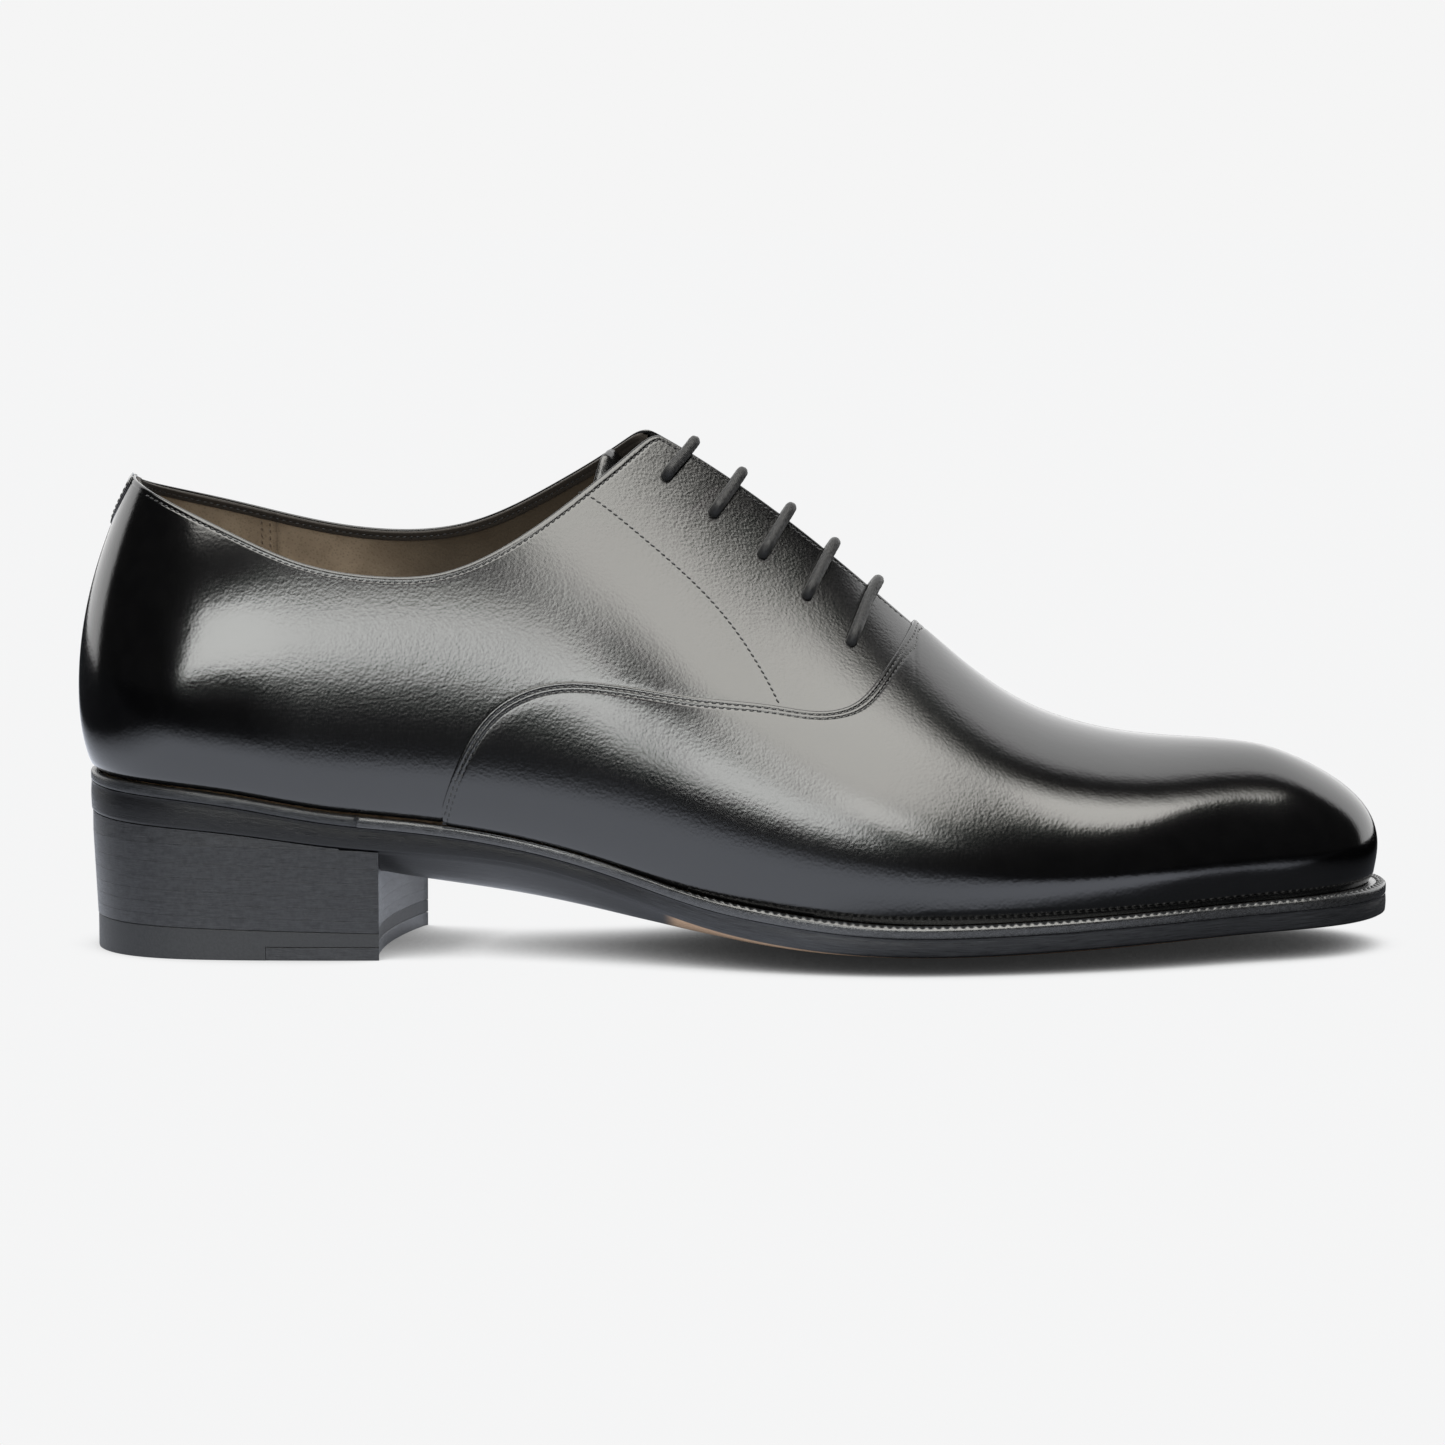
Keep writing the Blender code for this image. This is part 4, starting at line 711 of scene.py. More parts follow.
def rows_to_edge(start, end, scale, count):
    """A fixed number of rows: count even ones, then the close ones under the edge."""
    drops = np.array(NEAR_EDGE) * scale
    room = end - start
    if drops[-1] > 0.7 * room:
        drops = drops * (0.7 * room / drops[-1])
    low = start + (room - drops[-1]) * np.linspace(0.0, 1.0, count, endpoint=False)
    return np.concatenate([low, end - drops[::-1]])


def side_steps(*spans):
    """Laps of one side through spans of x: pairs of (x, step), the last one ending the list."""
    laps = []
    for (x0, step), (x1, _) in zip(spans, spans[1:]):
        count = max(int(round((x1 - x0) / step)), 1)
        laps.extend(lap_at(x) for x in np.linspace(x0, x1, count, endpoint=False))
    laps.append(lap_at(spans[-1][0]))
    return laps


def round_back(step, front, side_step=None, first=0.0):
    """Laps from the back seam forward along one side."""
    return (list(np.arange(first, lap_at(BACK_FAN_X), step))
            + side_steps((BACK_FAN_X, side_step or step), (front, 0)))


def both_ways(half):
    """A half that starts at the back seam, and its mirror before it."""
    return [-lap for lap in reversed(half[1:])] + half


def to_half(lap_from, step):
    """Laps from one station to the middle of the toe."""
    count = int(round((HALF_LAP - lap_from) / step))
    return list(np.linspace(lap_from, HALF_LAP, count + 1)[1:])


def mirrored(half):
    """A half lap and its mirror on the medial side."""
    return half + [LAP - lap for lap in reversed(half[:-1])]


def medial(laps):
    return [LAP - lap for lap in reversed(laps)]


# ---- stitching: each stitch is its own short thread ----
def evenly(points, normals, pitch):
    steps = distances(points)
    count = max(int(steps[-1] / pitch), 1)
    at = (np.arange(count) + 0.5) * steps[-1] / count
    half = 0.5 * pitch
    along = read_at(at + half, steps, points) - read_at(at - half, steps, points)
    return read_at(at, steps, points), along, read_at(at, steps, normals)


STITCH_ROUND = 6
# A stitch from end to end: place along it, size, and how far it sinks.
STITCH_SHAPE = ((-1.0, 0.0, -1.1), (-0.82, 0.62, -0.55), (-0.45, 0.95, 0.0), (0.0, 1.0, 0.12),
                (0.45, 0.95, 0.0), (0.82, 0.62, -0.55), (1.0, 0.0, -1.1))


def stitch_mesh(rows, length, width, height):
    """Points and faces of many stitches: rows of (place, direction, up)."""
    place, along, up = (np.concatenate([row[i] for row in rows]) for i in range(3))
    along /= np.linalg.norm(along, axis=1)[:, None]
    across = np.cross(up, along)
    across /= np.linalg.norm(across, axis=1)[:, None]
    up = np.cross(along, across)
    turns = np.arange(STITCH_ROUND) * 2.0 * math.pi / STITCH_ROUND
    slant = 0.16
    ring = np.array([
        (at * 0.5 * length, size * 0.5 * width * math.cos(turn) + slant * at * 0.5 * length,
         size * 0.5 * height * math.sin(turn) + sink * 0.5 * height)
        for at, size, sink in STITCH_SHAPE for turn in turns])
    points = (place[:, None, :] + ring[None, :, 0, None] * along[:, None, :]
              + ring[None, :, 1, None] * across[:, None, :] + ring[None, :, 2, None] * up[:, None, :])
    quads = np.array(tube_faces(len(STITCH_SHAPE), STITCH_ROUND, caps=False))
    each = len(ring)
    faces = (quads[None] + (np.arange(len(place)) * each)[:, None, None]).reshape(-1, 4)
    return points.reshape(-1, 3), faces[:, ::-1]


def on_surface(path, depth):
    """Points and normals along a path of (lap, arc), at a depth or a function of both."""
    points, normals = [], []
    for lap, arc in path:
        at = np.array([arc])
        deep = depth(lap, at) if callable(depth) else np.array([depth])
        points.append(off_row(lap, at, deep)[0])
        normals.append(normal_row(lap, at)[0])
    return np.array(points), np.array(normals)


def stitch_row(path, depth, pitch):
    return evenly(*on_surface(path, depth), pitch)


def sew(name, rows, paint, length=1.32, width=0.44, height=0.34, body="shoe"):
    points, faces = stitch_mesh(rows, length, width, height)
    return add_mesh(name, points, faces, paint, body=body)


# ---- materials ----
class Tree:
    """A short way to write nodes into an empty tree."""

    def __init__(self, owner):
        owner.use_nodes = True
        self.tree = owner.node_tree
        self.tree.nodes.clear()

    def add(self, kind, **settings):
        node = self.tree.nodes.new(kind)
        for name, value in settings.items():
            setattr(node, name, value)
        return node

    def link(self, source, target):
        self.tree.links.new(source, target)

    def put(self, socket, value):
        """Sets a socket to a number or a colour, or links another node's output to it."""
        if isinstance(value, bpy.types.NodeSocket):
            self.link(value, socket)
        else:
            socket.default_value = (*value, 1.0) if isinstance(value, tuple) else value

    def read(self, kind, output):
        return self.add(kind).outputs[output]

    def place(self, scale=(1.0, 1.0, 1.0), uv=False):
        """Coordinates in millimetres times a scale: the object's own, or along and across an edge."""
        if uv:
            start = self.add("ShaderNodeUVMap", uv_map="along").outputs["UV"]
            unit = 1.0
        else:
            start = self.read("ShaderNodeTexCoord", "Object")
            unit = 1000.0
        mapping = self.add("ShaderNodeMapping")
        mapping.inputs["Scale"].default_value = tuple(unit * s for s in scale)
        self.link(start, mapping.inputs["Vector"])
        return mapping.outputs["Vector"]

    def noise(self, where, scale, detail=3.0, rough=0.55):
        node = self.add("ShaderNodeTexNoise")
        self.link(where, node.inputs["Vector"])
        for name, value in (("Scale", scale), ("Detail", detail), ("Roughness", rough)):
            node.inputs[name].default_value = value
        return node.outputs["Fac"]

    def cells(self, where, scale, feature="F1", smoothness=None):
        node = self.add("ShaderNodeTexVoronoi", feature=feature)
        self.link(where, node.inputs["Vector"])
        node.inputs["Scale"].default_value = scale
        if smoothness is not None:
            node.inputs["Smoothness"].default_value = smoothness
        return node.outputs["Distance"]

    def span(self, value, low, high, out_low=0.0, out_high=1.0):
        """A smooth step from one value to another."""
        node = self.add("ShaderNodeMapRange", interpolation_type="SMOOTHSTEP")
        self.link(value, node.inputs["Value"])
        names = ("From Min", "From Max", "To Min", "To Max")
        for name, number in zip(names, (low, high, out_low, out_high)):
            node.inputs[name].default_value = number
        return node.outputs["Result"]

    def math(self, operation, *values):
        node = self.add("ShaderNodeMath", operation=operation)
        for socket, value in zip(node.inputs, values):
            self.put(socket, value)
        return node.outputs["Value"]

    def mix(self, share, low, high):
        node = self.add("ShaderNodeMix", data_type="RGBA")
        for index, value in ((0, share), (6, low), (7, high)):
            self.put(node.inputs[index], value)
        return node.outputs[2]

    def axis(self, where, name):
        node = self.add("ShaderNodeSeparateXYZ")
        self.link(where, node.inputs["Vector"])
        return node.outputs[name]

    def bump(self, height, distance, strength=1.0, after=None):
        node = self.add("ShaderNodeBump")
        node.inputs["Distance"].default_value = distance * MM
        node.inputs["Strength"].default_value = strength
        self.link(height, node.inputs["Height"])
        if after is not None:
            self.link(after, node.inputs["Normal"])
        return node.outputs["Normal"]

    def glow(self, strength, colour=(1.0, 1.0, 1.0), kind="ShaderNodeEmission"):
        node = self.add(kind)
        self.put(node.inputs["Color"], colour)
        self.put(node.inputs["Strength"], strength)
        return node.outputs[0]

    def choose(self, share, first, second):
        """One surface where share is 0 and another where it is 1."""
        node = self.add("ShaderNodeMixShader")
        for index, value in enumerate((share, first, second)):
            self.link(value, node.inputs[index])
        return node.outputs["Shader"]

    def end(self, surface, kind="ShaderNodeOutputMaterial"):
        self.link(surface, self.add(kind).inputs["Surface"])


class Nodes(Tree):
    """A material of one Principled shader, whose even values are set on its sockets."""

    def __init__(self, name, metallic=0.0, specular=0.5, ior=1.5, coat=0.0, coat_roughness=0.1, sheen=0.0,
                 sheen_roughness=0.4, anisotropic=0.0):
        self.made = bpy.data.materials.new(name)
        super().__init__(self.made)
        self.shader = self.add("ShaderNodeBsdfPrincipled")
        self.end(self.shader.outputs["BSDF"])
        values = {"Metallic": metallic, "Specular IOR Level": specular, "IOR": ior, "Coat Weight": coat,
                  "Coat Roughness": coat_roughness, "Sheen Weight": sheen, "Sheen Roughness": sheen_roughness,
                  "Anisotropic": anisotropic}
        for socket, value in values.items():
            self.shader.inputs[socket].default_value = value

    def finish(self, colour, roughness, normal):
        for socket, value in (("Base Color", colour), ("Roughness", roughness), ("Normal", normal)):
            self.link(value, self.shader.inputs[socket])
        return self.made


def polished_calf():
    """Smooth black calf: mirror bright at the toe and heel, softer and more grained between."""
    n = Nodes("polished_black_calf", specular=1.0)
    where = n.place()
    along = n.axis(where, "X")
    toe = n.span(along, 30.0, 85.0)
    heel = n.span(along, -92.0, -118.0)
    polish = n.math("MAXIMUM", toe, heel)
    grain = n.cells(where, 1.25, "SMOOTH_F1", 0.35)
    fine = n.noise(where, 1.9, 4.0, 0.6)
    broad = n.noise(where, 0.22, 3.0, 0.5)
    relief = n.math("ADD", n.math("MULTIPLY", grain, 0.55), n.math("MULTIPLY", fine, 0.75))
    relief = n.math("MULTIPLY", relief, n.math("SUBTRACT", 1.0, n.math("MULTIPLY", polish, 0.62)))
    normal = n.bump(relief, 0.034)
    normal = n.bump(broad, 0.03, 1.0, normal)
    rough = n.span(polish, 0.0, 1.0, 0.19, 0.125)
    rough = n.math("ADD", rough, n.math("MULTIPLY", n.math("SUBTRACT", fine, 0.5), 0.06))
    colour = n.mix(n.span(broad, 0.3, 0.7), (0.0012, 0.0012, 0.0014), (0.002, 0.002, 0.0022))
    return n.finish(colour, rough, normal)


def plain(name, low, high, rough_low, rough_high, scale, bump, stretch=(1.0, 1.0, 1.0), uv=False, **shader):
    """A matt material whose colour and roughness wander with one noise."""
    n = Nodes(name, **shader)
    where = n.place(stretch, uv)
    wander = n.noise(where, scale, 4.0, 0.6)
    colour = n.mix(n.span(wander, 0.3, 0.7), low, high)
    return n.finish(colour, n.span(wander, 0.25, 0.75, rough_low, rough_high), n.bump(wander, bump))


def lining_material():
    """Brown lining, finely grained, with a dark top strip and painted shade in front of the heel."""
    n = Nodes("taupe_lining_leather", specular=0.4, sheen=0.15)
    where = n.place()
    drop = n.axis(n.place(uv=True), "X")
    strip = n.span(drop, LINING_STRIP + 0.1, LINING_STRIP - 0.05)
    grain = n.cells(where, 1.4, "SMOOTH_F1", 0.4)
    fine = n.noise(where, 2.2, 4.0, 0.65)
    broad = n.noise(where, 0.12, 3.0, 0.5)
    body = n.mix(n.span(broad, 0.3, 0.7), (0.22, 0.168, 0.118), (0.3, 0.235, 0.168))
    body = n.mix(n.span(grain, 0.5, 0.1, 0.0, 0.35), body, (0.09, 0.064, 0.04))
    # painted shade: the lining's colour darkens forward of the heel as if in shadow
    body = n.mix(n.span(n.axis(where, "X"), -96.0, -66.0, 0.0, 0.85), body, (0.03, 0.022, 0.014))
    colour = n.mix(strip, body, (0.022, 0.017, 0.013))
    rough = n.math("ADD", n.span(fine, 0.3, 0.7, 0.42, 0.56), n.math("MULTIPLY", strip, 0.3))
    relief = n.math("ADD", n.math("MULTIPLY", grain, 0.6), n.math("MULTIPLY", fine, 0.7))
    return n.finish(colour, rough, n.bump(relief, 0.05))


def braid_material():
    """Waxed cotton: dark grey strands with a dull shine on their backs."""
    n = Nodes("waxed_black_cord", specular=0.4, sheen=0.12, sheen_roughness=0.45)
    where = n.place((1.0, 1.0, 1.0), uv=True)
    along, round_it = n.axis(where, "Y"), n.axis(where, "X")
    threads = n.math("SINE", n.math("ADD", n.math("MULTIPLY", round_it, 2.0 * math.pi * 26.0),
                                    n.math("MULTIPLY", along, 2.2)))
    counter = n.math("SINE", n.math("SUBTRACT", n.math("MULTIPLY", round_it, 2.0 * math.pi * 26.0),
                                    n.math("MULTIPLY", along, 2.2)))
    fibre = n.noise(n.place((1.0, 1.0, 1.0)), 6.0, 3.0, 0.6)
    relief = n.math("ADD", n.math("MULTIPLY", n.math("ADD", threads, counter), 0.3), fibre)
    colour = n.mix(n.span(relief, 0.1, 0.9), (0.006, 0.006, 0.0065), (0.024, 0.0242, 0.026))
    return n.finish(colour, n.span(fibre, 0.3, 0.7, 0.38, 0.55), n.bump(relief, 0.035))


def thread_material(name, low, high):
    n = Nodes(name, specular=0.6, sheen=0.2)
    where = n.place()
    fibre = n.noise(where, 9.0, 3.0, 0.6)
    colour = n.mix(n.span(fibre, 0.3, 0.7), low, high)
    return n.finish(colour, n.span(fibre, 0.3, 0.7, 0.3, 0.5), n.bump(fibre, 0.03))


def edge_material(name, low, high, rough_low, rough_high, lines, depth, shine=0.45):
    """A waxed leather edge, with striations left along it by the iron and the glass."""
    n = Nodes(name, specular=shine)
    where = n.place((0.03, 1.0, 1.0), uv=True)
    stripes = n.noise(where, lines, 4.0, 0.65)
    pits = n.noise(n.place(), 0.9, 4.0, 0.6)
    wander = n.noise(n.place(), 0.09, 2.0, 0.5)
    relief = n.math("ADD", stripes, n.math("MULTIPLY", pits, 0.5))
    colour = n.mix(n.span(relief, 0.55, 0.95), low, high)
    rough = n.math("ADD", n.span(stripes, 0.3, 0.7, rough_low, rough_high),
                   n.math("MULTIPLY", n.math("SUBTRACT", wander, 0.5), 0.12))
    return n.finish(colour, rough, n.bump(relief, depth))


def sole_material():
    """The outsole: waxed black on its edge and across the waist, bare leather under the forepart."""
    n = Nodes("outsole_leather", specular=0.45)
    uv = n.place((0.03, 1.0, 1.0), uv=True)
    where = n.place()
    stripes = n.noise(uv, 5.0, 4.0, 0.65)
    pits = n.noise(where, 0.9, 4.0, 0.6)
    drop = n.axis(n.place(uv=True), "Y")
    along = n.axis(where, "X")
    under = n.span(drop, 7.6, 8.4)
    bare = n.math("MULTIPLY", under, n.span(along, -16.0, -12.0))
    wax = n.mix(n.span(stripes, 0.35, 0.7), (0.014, 0.0145, 0.0165), (0.036, 0.038, 0.043))
    wax = n.mix(n.span(along, -8.0, -30.0, 0.0, 0.95), wax, (0.003, 0.003, 0.0035))
    tan = n.mix(n.span(pits, 0.3, 0.7), (0.42, 0.26, 0.15), (0.52, 0.34, 0.21))
    colour = n.mix(bare, wax, tan)
    rough = n.math("ADD", n.span(stripes, 0.3, 0.7, 0.26, 0.4), n.math("MULTIPLY", bare, 0.25))
    relief = n.math("ADD", stripes, n.math("MULTIPLY", pits, 0.4))
    return n.finish(colour, rough, n.bump(relief, 0.05))


calf = polished_calf()
lining = lining_material()
tongue_suede = plain("tongue_suede", (0.16, 0.12, 0.08), (0.22, 0.17, 0.115), 0.7, 0.85, 2.0, 0.05, sheen=0.3)
thread = thread_material("black_thread", (0.012, 0.012, 0.013), (0.03, 0.03, 0.032))
welt_thread = thread_material("waxed_welt_thread", (0.014, 0.014, 0.015), (0.035, 0.036, 0.038))
brown_thread = thread_material("brown_thread", (0.08, 0.055, 0.035), (0.14, 0.1, 0.065))
cord_braid = braid_material()
aglet_metal = plain("aglet_steel", (0.09, 0.09, 0.1), (0.13, 0.13, 0.14), 0.28, 0.42, 1.5, 0.01, metallic=1.0)
edge_wax = edge_material("waxed_black_edge", (0.011, 0.0115, 0.0125), (0.034, 0.036, 0.04), 0.2, 0.36,
                         5.0, 0.05)
welt_wax = edge_material("waxed_welt", (0.012, 0.0122, 0.013), (0.04, 0.041, 0.044), 0.16, 0.28,
                         5.0, 0.04, shine=1.0)
sole_wax = sole_material()
stack = edge_material("waxed_stacked_leather", (0.0105, 0.0107, 0.0118), (0.034, 0.035, 0.038), 0.3, 0.46,
                      7.0, 0.05)
rubber = plain("black_rubber", (0.017, 0.0176, 0.019), (0.027, 0.028, 0.03), 0.5, 0.64, 1.6, 0.03)
insole_leather = plain("bare_vegetable_leather", (0.36, 0.24, 0.14), (0.46, 0.31, 0.19), 0.6, 0.75, 0.7, 0.06)
sock_leather = plain("sock_leather", (0.15, 0.11, 0.072), (0.2, 0.15, 0.1), 0.4, 0.55, 1.3, 0.05)
board = plain("leather_board", (0.32, 0.22, 0.14), (0.42, 0.3, 0.19), 0.75, 0.9, 0.8, 0.06)
cork_grains = plain("cork", (0.32, 0.2, 0.1), (0.48, 0.32, 0.18), 0.85, 0.95, 0.9, 0.12)
steel = plain("spring_steel", (0.5, 0.51, 0.53), (0.6, 0.61, 0.63), 0.3, 0.42, 0.8, 0.01, metallic=1.0)
brass = plain("brass", (0.55, 0.4, 0.16), (0.66, 0.49, 0.21), 0.3, 0.45, 1.2, 0.01, metallic=1.0)
nail_metal = plain("brass_nail", (0.5, 0.37, 0.16), (0.64, 0.48, 0.22), 0.3, 0.5, 1.5, 0.02, metallic=1.0)

# Pieces that keep their CAD mesh, by the start of their name.
CARRIED = {"toe_puff": board, "heel_counter": board, "facing_stay": board, "shank": steel,
           "cork": cork_grains, "blind_eyelet": brass}

# ---- upper leathers ----
EDGE_THICKNESS = 0.86
# Rows of stitches, by their distance from the edge they follow.
VAMP_ROWS, TOPLINE_ROW, LINING_ROW, TAB_ROW = (1.05, 2.1), 1.45, 1.35, 1.3
SHARP, WELD = 50.0, 0.002


def vamp_far(lap, arcs):
    """Distance square to the vamp's edge."""
    return (vamp_edge(lap) - arcs) / stretch_of(vamp_edge, lap)


def lasting_tuck(arcs):
    """How far the upper turns in under itself just above the welt."""
    return 0.75 * np.clip(1.0 - arcs / 2.4, 0.0, 1.0) ** 2


def vamp_face(lap, arcs):
    far = vamp_far(lap, arcs)
    depth = EDGE_THICKNESS + (VAMP_OUT - EDGE_THICKNESS) * smooth_array((far - 1.2) / 3.6)
    depth = depth - 0.55 * rounded(far, 0.5)
    depth -= groove(far, VAMP_ROWS[0], 0.13, 0.2) + groove(far, VAMP_ROWS[1], 0.13, 0.2)
    return depth - lasting_tuck(arcs)


def vamp_back(lap, arcs):
    far = vamp_far(lap, arcs)
    return 0.03 + 0.1 * rounded(far, 0.3)


def quarter_face(lap, arcs):
    far = top_far(lap, arcs)
    x = x_of(lap)
    depth = -0.75 * rounded(far, 0.75) - groove(far, TOPLINE_ROW, 0.1, 0.22) - lasting_tuck(arcs)
    if x > VAMP_START - 1.0:
        under = vamp_far(lap, arcs)
        depth = depth - 0.45 * smooth_array((under - 0.4) / 3.0)
    return depth


def quarter_back(lap, arcs):
    depth = -LEATHER + 0.35 * rounded(top_far(lap, arcs), 0.5)
    if x_of(lap) > VAMP_START - 1.0:
        depth = depth - 0.3 * smooth_array((vamp_far(lap, arcs) - 0.4) / 3.0)
    return depth


TOP_STRETCH = {}


def top_far(lap, arcs):
    """Distance square to the topline or the facing edge."""
    key = round(lap % LAP, 5)
    if key not in TOP_STRETCH:
        TOP_STRETCH[key] = (top_arc(lap), stretch_of(top_arc, lap))
    top, stretch = TOP_STRETCH[key]
    return (top - arcs) / stretch


def sheet_between(laps, arcs_at, face, back, keep_off_middle=0.0):
    outer, inner = [], []
    for lap in laps:
        arcs = arcs_at(lap)
        for grid, depth in ((outer, face), (inner, back)):
            points = off_row(lap, arcs, depth(lap, arcs) * np.ones_like(arcs))
            points[:, 2] = np.maximum(points[:, 2], measure(lap, FEATHER_HEIGHT) + 0.02)
            if keep_off_middle:
                way = outward(lap)
                points[:, 1] = SPINE_Y + way * np.maximum(way * (points[:, 1] - SPINE_Y), keep_off_middle)
            grid.append(points)
    return np.array(outer), np.array(inner)


def build_vamp():
    half = side_steps((VAMP_START, 0.4), (-56.0, 0.6), (-40.0, 1.2), (26.0, 0.5), (36.0, 0.3), (46.0, 1.2),
                      (91.0, 0)) + to_half(lap_at(91.0), 1.3)
    laps = mirrored(half)

    def arcs_at(lap):
        end = min(vamp_edge(lap), ridge_arc(lap))
        over = smooth((ridge_arc(lap) + 12.0 - vamp_edge(lap)) / 12.0)
        scale = 1.0 + (min(stretch_of(vamp_edge, lap), 4.0) - 1.0) * over
        return rows_to_edge(0.0, end, scale, 40)

    outer, inner = sheet_between(laps, arcs_at, vamp_face, vamp_back)
    zipped = [vamp_edge(lap) >= ridge_arc(lap) for lap in laps]
    for i, lap in enumerate(laps):
        if zipped[i]:
            outer[i, -1, 1] = inner[i, -1, 1] = SPINE_Y
    points, faces = closed_sheet(outer, inner, zipped)
    add_mesh("vamp_shell", points, faces, calf, replaces=["vamp"], weld=WELD,
             sharp=SHARP)


# Lace holes: radius, how deep and how high the punch goes, and its sides.
LEATHER_HOLE, LINING_HOLE = (1.42, -1.8, 2.0, 28), (1.95, -4.2, 0.5, 20)


def quarter_laps():
    return [0.12] + list(np.arange(1.2, lap_at(-121.0) - 0.6, 1.2)) + side_steps(
        (-121.0, 1.2), (-36.0, 0.7), (-8.0, 1.0), (48.0, 0))


def build_quarter(side):
    laps = quarter_laps()
    laps = laps if side == "lateral" else medial(laps)

    def arcs_at(lap):
        low = quarter_low(lap)
        return rows_to_edge(low, top_arc(lap), min(stretch_of(top_arc, lap), 2.0), 44)

    outer, inner = sheet_between(laps, arcs_at, quarter_face, quarter_back, keep_off_middle=0.3)
    points, faces = closed_sheet(outer, inner)
    made = add_mesh("quarter_shell_" + side, points, faces, calf,
                    replaces=["quarter_" + side], weld=WELD)
    drill(made, side, *LEATHER_HOLE)
    made.data.set_sharp_from_angle(angle=math.radians(SHARP))


def quarter_low(lap):
    x = x_of(lap)
    if x <= -44.0:
        return 0.0
    return min(arc_of_height(lap, float(QUARTER_FOOT(x))), top_arc(lap) - 8.0)


# The quarter's hidden lower edge under the vamp: x against height.
QUARTER_FOOT = Curve([(-44.0, 14.0), (-30.0, 24.0), (-10.0, 32.0), (12.0, 41.0), (25.0, 47.0), (35.0, 53.0),
                      (42.0, 61.0), (50.0, 69.0)])


def linked(name, built):
    """An object in the scene from a bmesh, which is used up."""
    mesh = bpy.data.meshes.new(name)
    built.to_mesh(mesh)
    built.free()
    made = bpy.data.objects.new(name, mesh)
    bpy.context.scene.collection.objects.link(made)
    return made


def drill(target, side, radius, low, high, sides):
    """Punches the lace holes through a piece of one facing."""
    built = bmesh.new()
    for row in range(len(EYELETS)):
        made = bmesh.ops.create_cone(built, cap_ends=True, segments=sides, radius1=radius, radius2=radius,
                                     depth=high - low)
        bmesh.ops.translate(built, verts=made["verts"], vec=(0.0, 0.0, 0.5 * (low + high)))
        bmesh.ops.transform(built, matrix=eyelet_matrix(side, row), verts=made["verts"])
    for vertex in built.verts:
        vertex.co *= MM
    cut_with(target, linked("punch", built))


def cut_with(target, *tools):
    for tool in tools:
        modifier = target.modifiers.new("cut", "BOOLEAN")
        modifier.operation = "DIFFERENCE"
        modifier.solver = "EXACT"
        modifier.object = tool
    graph = bpy.context.evaluated_depsgraph_get()
    mesh = bpy.data.meshes.new_from_object(target.evaluated_get(graph))
    target.modifiers.clear()
    target.data = mesh
    for tool in tools:
        bpy.data.objects.remove(tool)


TAB_WIDTH, TAB_DROP, TAB_PROUD = 9.5, 13.0, 0.48


def tab_low(lap):
    return top_arc(lap) - TAB_DROP * (1.0 - 0.86 * min(abs(lap / TAB_WIDTH), 1.0) ** 1.3)


def build_heel_tab():
    laps = list(TAB_WIDTH * np.sin(np.linspace(-0.5 * math.pi, 0.5 * math.pi, 49)))

    def arcs_at(lap):
        low, top = tab_low(lap), top_arc(lap) + 0.05
        share = 0.5 - 0.5 * np.cos(np.linspace(0.0, math.pi, 34))
        return low + (top - low) * share

    def face(lap, arcs):
        edge = np.minimum(np.minimum(arcs - tab_low(lap), top_arc(lap) + 0.05 - arcs),
                          (TAB_WIDTH - abs(lap)) * 1.2)
        return TAB_PROUD - 0.4 * rounded(np.maximum(edge, 0.0), 0.9) - groove(edge, TAB_ROW, 0.09, 0.2)

    outer, inner = sheet_between(laps, arcs_at, face, lambda lap, arcs: 0.05)
    points, faces = closed_sheet(outer, inner)
    add_mesh("heel_tab_shell", points, faces, calf, replaces=["heel_tab"],
             weld=WELD, sharp=SHARP)


def below(edge, distance):
    """An arc at a distance square to an edge, as a function of the lap."""
    return lambda lap: edge(lap) - distance * stretch_of(edge, lap)


def sew_uppers():
    rows = []
    for distance in VAMP_ROWS:
        line = below(vamp_edge, distance)
        for turn in (lambda lap: lap, lambda lap: LAP - lap):
            path = []
            for lap in side_steps((VAMP_START, 0.25), (-56.0, 0.5), (46.0, 0)):
                lap = turn(lap)
                arc = line(lap)
                if 0.4 < arc < ridge_arc(lap) - 0.1:
                    path.append((lap, arc))
            rows.append(stitch_row(path, lambda lap, arcs: vamp_face(lap, arcs) + 0.05, 1.7))
    sew("vamp_stitches", rows, thread)
    rows = []
    for side in ("lateral", "medial"):
        path = []
        for lap in [10.4] + side_steps((-141.0, 0.6), (-36.0, 0.3), (-6.0, 0.6), (40.0, 0)):
            lap = on_its_side(side, lap)
            arc = below(top_arc, TOPLINE_ROW)(lap)
            if x_of(lap) > 30.0 and vamp_far(lap, np.array([arc]))[0] > -0.3:
                continue
            path.append((lap, arc))
        rows.append(stitch_row(path, lambda lap, arcs: quarter_face(lap, arcs) + 0.05, 1.6))
    sew("topline_stitches", rows, thread)
    rows = []
    for side in ("lateral", "medial"):
        path = [(on_its_side(side, lap), facing_line(lap)) for lap in side_steps((-35.4, 0.5), (10.6, 0))]
        rows.append(stitch_row(path, lambda lap, arcs: quarter_face(lap, arcs) + 0.05, 1.6))
    sew("facing_stitches", rows, thread)
    rows = []
    for way in (-1.0, 1.0):
        path = [(way * a, tab_low(way * a) + TAB_ROW * math.hypot(1.0, 1.6 * (a / TAB_WIDTH) ** 0.3))
                for a in np.linspace(0.0, TAB_WIDTH - TAB_ROW, 40)]
        rows.append(stitch_row(path, TAB_PROUD + 0.02, 1.5))
    sew("heel_tab_stitches", rows, thread)


